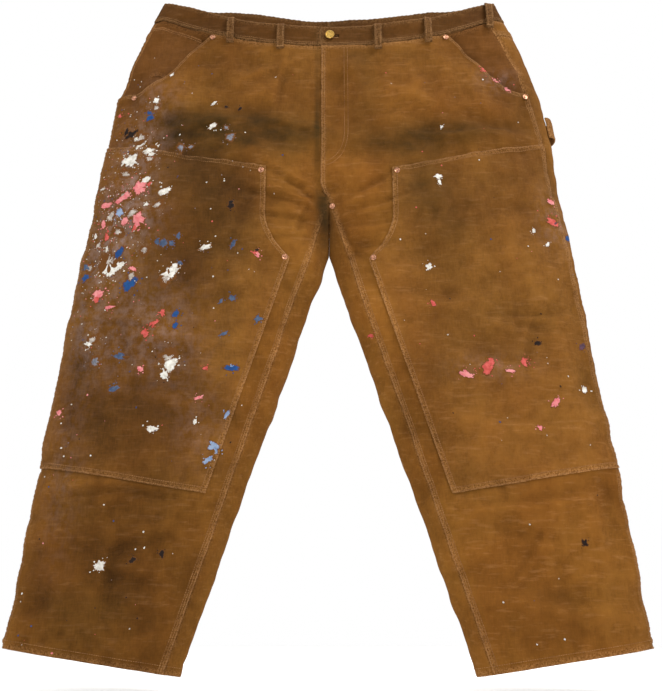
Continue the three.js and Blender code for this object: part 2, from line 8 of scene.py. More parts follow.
import bmesh
import bpy
import numpy as np
from mathutils.bvhtree import BVHTree
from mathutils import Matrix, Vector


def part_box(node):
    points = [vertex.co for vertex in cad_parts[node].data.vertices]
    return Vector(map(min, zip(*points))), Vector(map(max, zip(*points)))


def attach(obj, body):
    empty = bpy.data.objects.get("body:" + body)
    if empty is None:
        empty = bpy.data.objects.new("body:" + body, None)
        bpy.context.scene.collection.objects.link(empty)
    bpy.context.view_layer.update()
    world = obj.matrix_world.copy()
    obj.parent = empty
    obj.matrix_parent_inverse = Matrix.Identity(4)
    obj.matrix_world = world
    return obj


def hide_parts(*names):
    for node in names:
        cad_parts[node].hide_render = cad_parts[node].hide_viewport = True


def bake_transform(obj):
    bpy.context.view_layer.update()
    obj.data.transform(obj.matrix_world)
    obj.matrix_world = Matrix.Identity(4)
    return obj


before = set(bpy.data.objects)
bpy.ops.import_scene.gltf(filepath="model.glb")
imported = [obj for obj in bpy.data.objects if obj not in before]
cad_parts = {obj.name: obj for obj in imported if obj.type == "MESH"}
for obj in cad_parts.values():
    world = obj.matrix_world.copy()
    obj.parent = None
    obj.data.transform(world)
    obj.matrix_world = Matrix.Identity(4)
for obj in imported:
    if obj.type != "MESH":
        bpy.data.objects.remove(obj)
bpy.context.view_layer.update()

log = logging.getLogger("trousers")

Array = np.ndarray
TurnLine = Callable[[Array], Array]
HeightLine = Callable[[Array, Array], Array]

MM = 0.001
RIGHT = -1
LEFT = 1
FRONT = 1
BACK = -1
UNBOUND = -9.0

CANVAS = 1.4 * MM
LINING = 0.9 * MM
BAND = 2.4 * MM
LAYER_GAP = 1.5 * MM
SEAM_GAP = 0.25 * MM
SEAM_WIDTH = 11 * MM
TUCK = 6 * MM
CROTCH_Z = -0.365
SEAT_CROSSING = 0.024
CENTRE_GAP = 0.00005

HINGE_AXIS = np.array([0.19425, 0.0, 0.98095])
HINGE_FOOT = np.array([0.0, -0.031, -0.365])
BUTTON_X = 0.001
BUTTON_Z = -0.040


def smooth(t: Array) -> Array:
    """Eases from 0 to 1 as t goes from 0 to 1."""
    s = np.clip(t, 0.0, 1.0)
    return s * s * (3 - 2 * s)


def mix(a: Array, b: Array, share: Array) -> Array:
    """Goes from a to b as share goes from 0 to 1."""
    return a + (b - a) * share


def linear(code: str) -> tuple[float, float, float, float]:
    """Turns a hex colour into the linear colour that a shader socket takes.

    Args:
        code: Six hex digits.

    Returns:
        Red, green, blue and alpha, linear.
    """
    parts = [int(code[i:i + 2], 16) / 255 for i in (0, 2, 4)]
    return tuple(((c + 0.055) / 1.055) ** 2.4 if c > 0.04045 else c / 12.92 for c in parts) + (1.0,)


# ---- The shape the cloth lies on ----


@dataclass(frozen=True)
class Crease:
    """A soft fold pressed into the front of the cloth, from one point to another, in millimetres."""

    start: tuple[float, float]
    end: tuple[float, float]
    width: float
    depth: float

    def height(self, x: Array, z: Array) -> Array:
        """Gives how far the fold moves the cloth outwards.

        Args:
            x: Signed distances from the middle plane, in metres.
            z: Heights, in metres.

        Returns:
            The move at each point: out on one side of the line and in on the other.
        """
        (x0, z0), (x1, z1) = self.start, self.end
        length = math.hypot(x1 - x0, z1 - z0)
        along_x, along_z = (x1 - x0) / length, (z1 - z0) / length
        dx, dz = x / MM - x0, z / MM - z0
        run = (dx * along_x + dz * along_z) / length
        bow = 0.05 * length * np.sin(np.pi * np.clip(run, 0, 1))
        aside = (dx * along_z - dz * along_x - bow) / self.width
        taper = np.exp(-((run - 0.5) / 0.42) ** 4)
        return 2.0 * self.depth * MM * taper * (1.6 * aside * np.exp(-aside ** 2) - 0.4 * np.exp(-2 * aside ** 2))


CREASES = (
    Crease((-10, -372), (-120, -300), 7, 2.2), Crease((-12, -385), (-150, -345), 8, 2.4),
    Crease((-14, -405), (-130, -392), 7, 2.0), Crease((-20, -432), (-125, -440), 8, 1.8),
    Crease((12, -372), (120, -306), 7, 2.2), Crease((14, -388), (150, -352), 8, 2.4),
    Crease((16, -410), (135, -402), 7, 2.0), Crease((26, -440), (120, -452), 8, 1.6),
    Crease((-6, -250), (-110, -222), 8, 1.4), Crease((62, -215), (150, -185), 8, 1.4),
    Crease((-60, -110), (-170, -160), 11, 1.5), Crease((70, -120), (190, -175), 11, 1.6),
    Crease((-210, -200), (-330, -235), 12, 1.8), Crease((215, -205), (335, -240), 12, 1.8),
    Crease((-120, -520), (-250, -560), 14, 1.6), Crease((110, -530), (240, -545), 14, 1.6),
    Crease((-180, -640), (-340, -610), 15, 1.8), Crease((180, -625), (350, -655), 15, 1.8),
    Crease((-200, -735), (-380, -700), 14, 1.5), Crease((190, -728), (380, -745), 14, 1.5),
    Crease((-190, -862), (-400, -846), 9, 2.4), Crease((195, -866), (410, -842), 9, 2.4),
    Crease((-215, -905), (-330, -935), 12, 2.0), Crease((230, -900), (380, -925), 12, 2.0),
    Crease((-230, -985), (-400, -960), 13, 1.6), Crease((240, -990), (400, -1010), 13, 1.6),
    Crease((-300, -880), (-330, -1040), 12, 1.8), Crease((330, -880), (345, -1050), 12, 1.6),
    Crease((-150, -260), (-190, -420), 14, 1.2), Crease((170, -250), (205, -410), 14, 1.2),
    Crease((150, -236), (300, -228), 9, 2.2), Crease((-130, -225), (-300, -250), 10, 1.8),
    Crease((330, -560), (300, -680), 9, 2.0), Crease((250, -575), (390, -600), 10, 2.0),
    Crease((-330, -560), (-300, -700), 11, 1.6), Crease((-130, -350), (-175, -520), 10, 1.6),
    Crease((60, -100), (20, -300), 10, 1.0), Crease((-60, -90), (-110, -240), 12, 1.3),
    Crease((-16, -340), (-60, -440), 6, 1.8), Crease((10, -385), (48, -470), 6, 2.2),
    Crease((-12, -345), (-95, -330), 5, 1.6), Crease((-14, -358), (-100, -352), 4, 1.6),
    Crease((-60, -60), (-92, -215), 6, 1.8), Crease((250, -570), (395, -560), 6, 1.9),
    Crease((-250, -600), (-395, -575), 6, 1.8), Crease((250, -1000), (330, -880), 6, 1.9),
)


@dataclass(frozen=True)
class Form:
    """The body that the cloth lies on: two lens-shaped tubes that join above the crotch.

    A turn of 0 is the outer fold, pi/2 the middle of the front, -pi/2 the middle of the back, and
    pi or -pi the inner fold. Sizes are in metres.
    """

    waist_half_width: float = 0.300
    hip_half_width: float = 0.374
    hem_outer_half_width: float = 0.470
    side_waist_z: float = 0.046
    hip_z: float = -0.190
    hem_outer_z: float = -1.069
    hip_curve: float = 1.35
    hem_slope: float = 0.152
    notch_z: float = -0.455
    inner_fold_slope: float = 0.327
    inseam_slope: float = 0.317
    depth_levels: tuple = ((0.0, 0.024), (-0.200, 0.038), (-0.620, 0.034), (-1.090, 0.026))
    section_power: float = 3.0
    front_rise_dip: float = -0.020
    front_rise_curve: float = 2.2
    back_rise: float = 0.027
    back_rise_reach: float = 0.200
    band_height: float = 0.042
    calm_radius: float = 0.045
    crotch_calm_z: float = -0.35

    def depth(self, z: Array) -> Array:
        """Gives the depth from the middle plane to the outer face at height z."""
        depth = np.full_like(z, self.depth_levels[0][1])
        for (upper_z, upper), (lower_z, lower) in zip(self.depth_levels, self.depth_levels[1:]):
            share = smooth((upper_z - z) / (upper_z - lower_z))
            depth = np.where(z < upper_z, mix(upper, lower, share), depth)
        return depth

    def outer_fold(self, z: Array) -> Array:
        """Gives the x of the outer fold at height z."""
        rise = np.clip((z - self.hip_z) / (self.side_waist_z - self.hip_z), 0, None)
        upper = self.hip_half_width - (self.hip_half_width - self.waist_half_width) * rise ** self.hip_curve
        fall = (self.hip_z - z) / (self.hip_z - self.hem_outer_z)
        return np.where(z > self.hip_z, upper, mix(self.hip_half_width, self.hem_outer_half_width, fall))

    def inseam_x(self, z: Array) -> Array:
        """Gives the x of the inseam on the front, at height z."""
        return np.maximum(CENTRE_GAP, self.inseam_slope * (CROTCH_Z - z))

    def section(self, z: Array) -> tuple[Array, Array]:
        """Gives the middle and half-width of a half-body's section at height z."""
        outer = self.outer_fold(z)
        inner = self.inner_fold_slope * (self.notch_z - z)
        return (outer + inner) / 2, (outer - inner) / 2

    def turn_at(self, x: Array, z: Array) -> Array:
        """Gives the turn at which the front of a section reaches x."""
        middle, reach = self.section(z)
        return np.arccos(np.clip((x - middle) / reach, -1, 1))

    def x_at(self, turn: Array, z: Array) -> Array:
        """Gives the x that a turn reaches at height z."""
        middle, reach = self.section(z)
        return middle + reach * np.cos(turn)

    def point(self, turn: Array, z: Array, lowest_x: float) -> Array:
        """Gives points on the smooth shape, for the wearer's left side.

        Args:
            turn: Turns around the section.
            z: Heights.
            lowest_x: The cloth presses flat against this plane where it would cross it.

        Returns:
            Points, with a last axis of three.
        """
        x = np.maximum(lowest_x, self.x_at(turn, z))
        bulge_turn = np.where(x < 0, self.turn_at(-x, z), turn)
        bulge = np.sqrt(np.clip(1 - np.abs(np.cos(bulge_turn)) ** self.section_power, 0, None))
        return np.stack([x, -self.depth(z) * bulge * np.sign(np.sin(turn)), z], axis=-1)

    def normal(self, turn: Array, z: Array, lowest_x: float) -> Array:
        """Gives the outward directions of the smooth shape, for the wearer's left side."""
        step = 0.004
        along = self.point(turn + step, z, lowest_x) - self.point(turn - step, z, lowest_x)
        up = self.point(turn, z + MM, lowest_x) - self.point(turn, z - MM, lowest_x)
        across = np.cross(up, along)
        return across / np.maximum(np.linalg.norm(across, axis=-1, keepdims=True), 1e-12)

    def crumple(self, points: Array) -> Array:
        """Gives how far worn cloth lies off the smooth shape: long swells, small buckles and folds.

        Args:
            points: Points on the smooth shape, x signed.

        Returns:
            The outward move at each point. Every layer at one place has the same one.
        """
        rng = np.random.default_rng(11)
        x, y, z = points[..., 0], points[..., 1], points[..., 2]
        total = np.zeros_like(x)
        for longest, shortest, height, count in ((0.26, 0.11, 0.70, 16), (0.09, 0.04, 0.42, 24), (0.034, 0.018, 0.15, 26)):
            for _ in range(count):
                angle, lean, phase, wave = rng.uniform(0, 2 * np.pi), rng.uniform(-0.6, 0.6), rng.uniform(0, 6.28), rng.uniform(shortest, longest)
                pull = 2 * np.pi / wave
                sway = 0.25 * np.sin(9 * z + phase) * wave
                total += height * MM * np.sin(pull * (x * np.cos(angle) + z * np.sin(angle) + y * lean + sway) + phase)
        total *= mix(0.4, 1.0, smooth(np.abs(y) / 0.022))
        front = smooth(-y / 0.012)
        for crease in CREASES:
            total += front * crease.height(x, z)
        total *= np.where(z < self.crotch_calm_z, smooth(np.abs(x) / 0.018), 1.0)
        reach = np.sqrt((x - BUTTON_X) ** 2 + (z - BUTTON_Z) ** 2)
        calm = mix(0.25, 1.0, smooth((reach - self.calm_radius) / self.calm_radius)) if self.calm_radius else 1.0
        calm = np.where(y < 0, calm, 1.0)
        waist = mix(0.45, 1.0, smooth((0.0 - z) / 0.12))
        return total * calm * waist

    def place(self, side: int, turn: Array, z: Array, lift: Array, lowest_x: float = UNBOUND) -> tuple[Array, Array]:
        """Places points on the cloth's level.

        Args:
            side: RIGHT or LEFT.
            turn: Turns around the section.
            z: Heights.
            lift: Heights off the crumpled shape.
            lowest_x: As for point().

        Returns:
            The points, and the outward directions there.
        """
        base = self.point(turn, z, lowest_x)
        normal = self.normal(turn, z, lowest_x)
        base[..., 0] *= side
        normal[..., 0] *= side
        height = np.broadcast_to(lift, turn.shape) + self.crumple(base)
        return base + normal * height[..., None], normal

    def waist_top(self, x: Array, turn: Array) -> Array:
        """Gives the height of the waistband's top edge."""
        share = np.minimum(1, np.abs(x) / self.waist_half_width)
        front = self.front_rise_dip + (self.side_waist_z - self.front_rise_dip) * share ** self.front_rise_curve
        reach = np.clip(x / self.back_rise_reach, 0, 1)
        back = self.back_rise + (self.side_waist_z - self.back_rise) * np.sin(reach * np.pi / 2) ** 2
        return np.where(turn >= 0, front, back)

    def band_base(self, x: Array, turn: Array) -> Array:
        """Gives the height of the waistband's lower edge."""
        return self.waist_top(x, turn) - self.band_height

    def hem(self, x: Array, turn: Array) -> Array:
        """Gives the height of the hem."""
        return self.hem_outer_z - self.hem_slope * (self.hem_outer_half_width - x) + 0 * turn

    def shift(self, turn: Array, z: Array, distance: float) -> Array:
        """Moves a turn by a distance along the section, towards the inner fold of the front."""
        step = 0.01
        span = self.point(turn + step, z, UNBOUND) - self.point(turn - step, z, UNBOUND)
        return turn + distance * 2 * step / np.linalg.norm(span, axis=-1)


FORM = Form()


# ---- Cloth ----


class Edge(Enum):
    """The edges of a piece of cloth."""

    START = "start"
    STOP = "stop"
    TOP = "top"
    BASE = "base"


@dataclass
class Lay:
    """Where a piece of cloth lies: the grid of its points, and how far each is from its edges."""

    turn: Array
    z: Array
    x: Array
    share: Array
    fall: Array
    width: Array
    height: Array

    def off(self, edge: Edge) -> Array:
        """Gives the distance of each point from an edge."""
        if edge is Edge.START:
            return self.share * self.width
        if edge is Edge.STOP:
            return (1 - self.share) * self.width
        if edge is Edge.TOP:
            return self.fall * self.height
        return (1 - self.fall) * self.height

    def nearest(self, edges: tuple[Edge, ...]) -> Array:
        """Gives the distance of each point from the nearest of some edges."""
        return np.min([self.off(edge) for edge in edges], axis=0)


ALL_EDGES = (Edge.START, Edge.STOP, Edge.TOP, Edge.BASE)


def level(height: float) -> Callable[[Lay], Array]:
    """Makes a lift that is the same all over."""
    return lambda lay: np.full_like(lay.turn, height)


def ridge(distance: Array, width: float, height: float) -> Array:
    """Raises a flat ridge beside an edge, as folded seam allowance does.

    Args:
        distance: How far each point is from the edge.
        width: The ridge's width.
        height: Its height.

    Returns:
        The rise at each point.
    """
    fall = 2.5 * MM
    return height * (1 - smooth((distance - width) / fall))


def pucker(along: Array, distance: Array, reach: float, height: float) -> Array:
    """Gathers cloth into the small slanted ropes that a stitched and washed edge has."""
    rope = np.sin(2 * np.pi * (along + 0.6 * distance) / (8.5 * MM) + 2.2 * np.sin(along / (23 * MM)))
    return height * rope * np.exp(-(distance / reach) ** 2)


class Drape:
    """The outer faces of all the cloth, so that stitches and paint can be dropped on it."""

    def __init__(self) -> None:
        """Starts with no cloth."""
        self.points: list[Array] = []
        self.faces: list[Array] = []
        self.count = 0
        self.tree: BVHTree | None = None

    def add(self, points: Array, faces: Array) -> None:
        """Adds one piece's outer face."""
        self.points.append(points)
        self.faces.append(faces + self.count)
        self.count += len(points)

    def close(self) -> None:
        """Builds the search tree once all the cloth is there."""
        self.tree = BVHTree.FromPolygons(np.concatenate(self.points).tolist(), np.concatenate(self.faces).tolist())

    def drop(self, points: Array, normals: Array, height: float = 0.045) -> Array:
        """Drops points onto the cloth, against the outward direction.

        Args:
            points: Points near the cloth.
            normals: The outward direction at each.
            height: How far off the cloth each falls from.

        Returns:
            The points on the outermost cloth, or the points themselves where there is none.
        """
        flat_points, flat_normals = points.reshape(-1, 3), normals.reshape(-1, 3)
        landed = flat_points.copy()
        for i, (point, normal) in enumerate(zip(flat_points, flat_normals)):
            hit = self.tree.ray_cast((point + normal * height).tolist(), (-normal).tolist(), 2 * height)[0]
            if hit is not None:
                landed[i] = hit
        return landed.reshape(points.shape)


DRAPE = Drape()


def mesh_object(name: str, points: Array, faces: list, smooth_angle: float = 50) -> bpy.types.Object:
    """Makes an object of points and faces, smooth except at its sharp edges.

    Args:
        name: The object's name.
        points: One row for each vertex.
        faces: Lists of vertex numbers.
        smooth_angle: Edges that bend more than this many degrees stay sharp.

    Returns:
        The object, linked to the scene.
    """
    mesh = bpy.data.meshes.new(name)
    mesh.from_pydata(points.tolist(), [], faces if isinstance(faces, list) else faces.tolist())
    mesh.polygons.foreach_set("use_smooth", [True] * len(mesh.polygons))
    mesh.set_sharp_from_angle(angle=math.radians(smooth_angle))
    mesh.update()
    piece = bpy.data.objects.new(name, mesh)
    bpy.context.scene.collection.objects.link(piece)
    return piece


def add_layer(piece: bpy.types.Object, name: str, values: Array) -> None:
    """Stores one number for each vertex under a name that a finish reads."""
    layer = piece.data.attributes.new(name=name, type="FLOAT", domain="POINT")
    layer.data.foreach_set("value", np.asarray(values, dtype=np.float32).ravel())


def shell(name: str, outer: Array, inner: Array, keep: Array | None = None) -> tuple[bpy.types.Object, Array]:
    """Makes a closed sheet from the grids of its two faces.

    Args:
        name: The object's name.
        outer: The outer face's points, rows by columns by three.
        inner: The inner face's points, the same way.
        keep: Which squares of the grid are kept, or None for all of them.

    Returns:
        The object, and the grid numbers of its outer vertices in order.
    """
    rows, columns = outer.shape[:2]
    number = np.arange(rows * columns).reshape(rows, columns)
    quads = np.stack([number[:-1, :-1], number[:-1, 1:], number[1:, 1:], number[1:, :-1]], axis=-1)
    quads = quads[keep] if keep is not None else quads.reshape(-1, 4)
    points = outer.reshape(-1, 3)
    middle = quads[len(quads) // 2]
    facing = np.cross(points[middle[1]] - points[middle[0]], points[middle[3]] - points[middle[0]])
    if facing @ (points[middle[0]] - inner.reshape(-1, 3)[middle[0]]) < 0:
        quads = quads[:, ::-1]
    ends = np.concatenate([np.stack([quads[:, k], quads[:, (k + 1) % 4]], axis=-1) for k in range(4)])
    total = rows * columns
    rim = ends[~np.isin(ends[:, 0] * total + ends[:, 1], ends[:, 1] * total + ends[:, 0])]
    walls = np.stack([rim[:, 1], rim[:, 0], rim[:, 0] + total, rim[:, 1] + total], axis=-1)
    faces = np.concatenate([quads, quads[:, ::-1] + total, walls])
    used, packed = np.unique(faces, return_inverse=True)
    every = np.concatenate([points, inner.reshape(-1, 3)])
    piece = mesh_object(name, every[used], packed.reshape(-1, 4))
    DRAPE.add(points, quads)
    return piece, used % total


def stations(length: float, margin: float, pitch: float) -> tuple[Array, Array]:
    """Spaces grid lines: close together near both edges, evenly between.

    Args:
        length: The cloth's size this way.
        margin: The width of the close strip at each edge.
        pitch: The even spacing.

    Returns:
        For each line a share of the length and an offset, which add up to its place.
    """
    margin = min(margin, length / 4)
    near = margin * np.array([0.0, 0.05, 0.14, 0.27, 0.43, 0.62, 0.82])
    between = np.linspace(0, 1, max(1, math.ceil((length - 2 * margin) / pitch)) + 1)
    share = np.concatenate([np.zeros_like(near), between, np.ones_like(near)])
    offset = np.concatenate([near, margin * (1 - 2 * between), -near[::-1]])
    return share, offset


@dataclass
class Cloth:
    """One piece of cloth on the form.

    It runs from turn start(z) to turn stop(z), and from height top(x, turn) down to base(x, turn).
    """

    name: str
    side: int
    start: TurnLine
    stop: TurnLine
    top: HeightLine
    base: HeightLine
    lift: Callable[[Lay], Array]
    thickness: float = CANVAS
    lowest_x: float = UNBOUND
    pitch: float = 4.5 * MM
    margin: float = 13 * MM
    seam_band: float = 6.5 * MM
    rows_turn: Array = field(init=False, repr=False)
    rows_width: Array = field(init=False, repr=False)

    HIGHEST_Z = 0.06
    LOWEST_Z = -1.14
    LEVELS = 300
    SAMPLES = 260

    def __post_init__(self) -> None:
        """Measures the cloth's width at each level, and the turn at each share of it."""
        z = np.linspace(self.HIGHEST_Z, self.LOWEST_Z, self.LEVELS)
        share = np.linspace(0, 1, self.SAMPLES)
        turn = mix(self.start(z)[:, None], self.stop(z)[:, None], share[None, :])
        points = FORM.point(turn, np.broadcast_to(z[:, None], turn.shape), self.lowest_x)
        steps = np.linalg.norm(np.diff(points, axis=1), axis=-1)
        run = np.concatenate([np.zeros((self.LEVELS, 1)), np.cumsum(steps, axis=1)], axis=1)
        self.rows_width = np.maximum(run[:, -1], 1e-5)
        self.rows_turn = np.stack([
            np.interp(share * width, reach, turns) for width, reach, turns in zip(self.rows_width, run, turn)
        ])

    def locate(self, share: tuple[Array, Array], fall: tuple[Array, Array]) -> Lay:
        """Finds points by their place across and down the cloth.

        Args:
            share: A share of the width and an offset in metres, which add up to the place across.
            fall: The same, down the height.

        Returns:
            Where the points lie.
        """
        z = mix(0.0, FORM.hem_outer_z, np.clip(fall[0] + 0 * share[0], 0, 1))
        for _ in range(6):
            spot = np.clip((self.HIGHEST_Z - z) / (self.HIGHEST_Z - self.LOWEST_Z), 0, 1) * (self.LEVELS - 1)
            row = np.clip(spot.astype(int), 0, self.LEVELS - 2)
            part = spot - row
            width = mix(self.rows_width[row], self.rows_width[row + 1], part)
            across = np.clip(share[0] + share[1] / width, 0, 1)
            column = np.clip((across * (self.SAMPLES - 1)).astype(int), 0, self.SAMPLES - 2)
            rest = across * (self.SAMPLES - 1) - column
            upper = mix(self.rows_turn[row, column], self.rows_turn[row, column + 1], rest)
            lower = mix(self.rows_turn[row + 1, column], self.rows_turn[row + 1, column + 1], rest)
            turn = mix(upper, lower, part)
            x = np.maximum(self.lowest_x, FORM.x_at(turn, z))
            top = self.top(x, turn)
            height = np.maximum(top - self.base(x, turn), 1e-4)
            down = np.clip(fall[0] + fall[1] / height, 0, 1)
            z = top - down * height
        return Lay(turn, z, x, across, down, width, height)

    def span(self) -> tuple[float, float]:
        """Gives the cloth's greatest width and height, laid flat."""
        rough = np.linspace(0, 1, 25)
        lay = self.locate((rough[None, :], 0 * rough[None, :]), (rough[:, None], 0 * rough[:, None]))
        return float(lay.width.max()), float(lay.height.max())

    def grid(self) -> Lay:
        """Lays out the grid that the mesh is made on."""
        width, height = self.span()
        across = stations(width, self.margin, self.pitch)
        down = stations(height, self.margin, self.pitch)
        shares = (across[0][None, :], across[1][None, :])
        return self.locate(shares, (down[0][:, None], down[1][:, None]))

    def line(self, edge: Edge, distance: float, first: float = 0.0, last: float = 1.0) -> Lay:
        """Gives the points of a line beside an edge.

        Args:
            edge: The edge that the line follows.
            distance: How far inside the edge it runs.
            first: The share of the edge at which it begins.
            last: The share at which it ends.

        Returns:
            Where its points lie.
        """
        run = np.linspace(first, last, 500)
        near = np.zeros_like(run)
        ways = {
            Edge.START: ((near, near + distance), (run, near)),
            Edge.STOP: ((near + 1, near - distance), (run, near)),
            Edge.TOP: ((run, near), (near, near + distance)),
            Edge.BASE: ((run, near), (near + 1, near - distance)),
        }
        return self.locate(*ways[edge])

    def build(self, finish: "Finish", keep: Callable[[Lay], Array] | None = None, fade: float = 0.0) -> bpy.types.Object:
        """Args:
            finish: What it is made of.
            keep: Says which squares of the grid stay, by their middles, or None for all.
            fade: How worn the whole piece is, beside its edges.

        Returns:
            The object.
        """
        lay = self.grid()
        inner_lift = self.lift(lay)
        edge = lay.nearest(ALL_EDGES)
        roll = 0.45 * self.thickness * (1 - np.sqrt(np.clip(edge / (0.9 * self.thickness), 0, 1)))
        outer, _ = FORM.place(self.side, lay.turn, lay.z, inner_lift + self.thickness - roll, self.lowest_x)
        inner, _ = FORM.place(self.side, lay.turn, lay.z, inner_lift, self.lowest_x)
        mask = None
        if keep is not None:
            mask = keep(lay)
            mask = mask[:-1, :-1] & mask[1:, 1:] & mask[:-1, 1:] & mask[1:, :-1]
        piece, order = shell(self.name, outer, inner, mask)
        points = outer.reshape(-1, 3)[order]
        add_layer(piece, "wear", np.clip(fade + WearAndShade.edge(edge.ravel()[order]), 0, 1))
        add_layer(piece, "grime_and_shadow", WearAndShade.grime_and_shadow(points))
        base = FORM.point(lay.turn, lay.z, self.lowest_x)
        base[..., 0] *= self.side
        relief = FORM.crumple(base).ravel()[order]
        # The tone layer also carries painted shade and highlight: darker in the hollows of the folds, lighter on their
        # ridges.
        add_layer(piece, "tone_and_shade", np.clip(WearAndShade.tone_and_shade(points) + WearAndShade.RELIEF_SHADE * relief / MM, -1, 1))
        add_layer(piece, "dust", WearAndShade.dust(points))
        add_layer(piece, "seam", (1 - smooth((edge - self.seam_band) / (3 * MM))).ravel()[order])
        finish.dress(piece)
        width, height = self.span()
        width, height = width * self.gain(inner, base, 1), height * self.gain(inner, base, 0)
        log.info("%s: cloth %.0f x %.0f mm, %d faces", self.name, width / MM, height / MM, len(piece.data.polygons))
        return piece

    @staticmethod
    def gain(points: Array, base: Array, axis: int) -> float:
        """Gives how much longer the cloth is than the smooth form under it, along one axis of its grid."""
        cloth, form = (np.linalg.norm(np.diff(grid, axis=axis), axis=-1).sum() for grid in (points, base))
        return float(cloth / form)

    @staticmethod
    def flat_area(points: Array) -> float:
        """Measures the area of a grid of points."""
        across, down = np.diff(points, axis=1)[:-1], np.diff(points, axis=0)[:, :-1]
        return np.linalg.norm(np.cross(across, down), axis=-1).sum()

    @staticmethod
    def fitted(area: float, width: float, height: float) -> float:
        """Keeps a shaped piece's area within the rectangle it is cut from."""
        return round(min(area, 0.999 * round(width, 3) * round(height, 3)), 6)


# ---- How the cloth has worn, and the shade painted onto it ----


@dataclass(frozen=True)
class Patch:
    """A soft-edged place on the front, in millimetres, and how strongly it is marked."""

    x: float
    z: float
    across: float
    down: float
    strength: float


class WearAndShade:
    """Where the cloth is faded, dirty, darker or lighter, and where shadow and the shading of its folds are painted
    onto it.
    """

    # Real dirt stains, plus painted shadow: a narrow strip along the fly edge and two patches in the crotch fold.
    STAINS_AND_SHADOWS = (
        Patch(-190, -232, 90, 36, 0.95), Patch(-110, -240, 80, 36, 0.8), Patch(-265, -225, 55, 40, 0.5),
        Patch(-40, -255, 60, 30, 0.4), Patch(-215, -330, 90, 70, 0.5), Patch(-150, -420, 70, 90, 0.35),
        Patch(215, -238, 95, 22, 0.85), Patch(120, -262, 80, 24, 0.7), Patch(150, -335, 50, 50, 0.5),
        Patch(185, -400, 70, 60, 0.5), Patch(310, -300, 60, 60, 0.3), Patch(-290, -520, 80, 110, 0.4),
        Patch(-250, -720, 90, 70, 0.3), Patch(60, -170, 25, 90, 0.3), Patch(235, -620, 90, 80, 0.3),
        Patch(-330, -1010, 90, 60, 0.3), Patch(350, -1020, 90, 50, 0.25), Patch(40, -95, 30, 30, 0.35),
        # The first three patches below are painted shadow, along the fly edge and in the crotch fold.
        Patch(-20, -200, 5, 150, 0.75), Patch(-6, -400, 11, 46, 1.0), Patch(-12, -365, 9, 20, 0.8), Patch(120, -80, 90, 14, 0.2),
    )
    SHADES = (
        Patch(-310, -970, 170, 170, -0.45), Patch(-350, -720, 90, 160, -0.3), Patch(-270, -700, 80, 70, -0.25),
        Patch(-210, -350, 120, 110, -0.42), Patch(-230, -500, 100, 90, -0.3), Patch(-140, -110, 110, 60, -0.12),
        Patch(0, -320, 100, 70, 0.42), Patch(-80, -420, 55, 60, 0.25), Patch(80, -420, 60, 60, 0.25),
        Patch(-260, -60, 70, 60, -0.25), Patch(-330, -160, 60, 80, -0.25), Patch(350, -160, 40, 100, -0.25),
        Patch(-90, -560, 45, 90, 0.25), Patch(95, -570, 50, 90, 0.3), Patch(300, -700, 100, 160, 0.1),
        # The middle patch below is a painted shadow in the crotch fold.
        Patch(180, -400, 80, 80, -0.14), Patch(0, -415, 20, 50, -0.5), Patch(190, -120, 120, 70, 0.05),
        Patch(350, -940, 150, 190, 0.34), Patch(-395, -560, 20, 200, -0.3), Patch(430, -700, 22, 300, -0.2),
    )
    DUST = (
        Patch(-318, -268, 46, 40, 0.75), Patch(-330, -345, 40, 45, 0.9), Patch(-330, -410, 48, 45, 0.95),
        Patch(-360, -480, 40, 60, 0.85), Patch(-385, -600, 28, 90, 0.55), Patch(-330, -610, 60, 70, 0.45),
        Patch(-250, -640, 50, 50, 0.4), Patch(-260, -560, 60, 60, 0.35), Patch(-300, -180, 40, 50, 0.4),
        Patch(375, -400, 30, 50, 0.5), Patch(290, -130, 35, 25, 0.45), Patch(250, -655, 60, 20, 0.3),
        Patch(-400, -800, 30, 120, 0.35), Patch(-200, -745, 40, 60, 0.3),
    )
    EDGE_REACH = 2.2 * MM
    EDGE_FADE = 0.75
    # Painted shade and highlight: the cloth is darker in the hollows of its folds and lighter on their ridges, by this
    # much for each millimetre of fold height.
    RELIEF_SHADE = 0.04

    @classmethod
    def edge(cls, distance: Array) -> Array:
        """Gives the fading beside an edge."""
        return cls.EDGE_FADE * np.exp(-distance / cls.EDGE_REACH)

    @staticmethod
    def spread(points: Array, patches: tuple[Patch, ...]) -> Array:
        """Adds up soft patches on the front.

        Args:
            points: Points on the cloth.
            patches: The patches.

        Returns:
            Their strength at each point.
        """
        x, y, z = points[:, 0] / MM, points[:, 1], points[:, 2] / MM
        total = np.zeros(len(points))
        for patch in patches:
            total += patch.strength * np.exp(-((x - patch.x) / patch.across) ** 2 - ((z - patch.z) / patch.down) ** 2)
        return total * mix(0.35, 1.0, smooth(-y / 0.02))

    @classmethod
    def grime_and_shadow(cls, points: Array) -> Array:
        """Gives how dirty the cloth is, plus painted shadow along the fly edge and in the crotch fold."""
        return np.clip(cls.spread(points, cls.STAINS_AND_SHADOWS), 0, 1)

    @classmethod
    def dust(cls, points: Array) -> Array:
        """Gives how much pale dust of dried paint is rubbed into the cloth."""
        return np.clip(cls.spread(points, cls.DUST), 0, 1)

    @classmethod
    def tone_and_shade(cls, points: Array) -> Array:
        """Gives how much lighter or darker than usual the cloth is, with a painted shadow in the crotch fold."""
        return np.clip(cls.spread(points, cls.SHADES), -1, 1)


# ---- Finishes ----


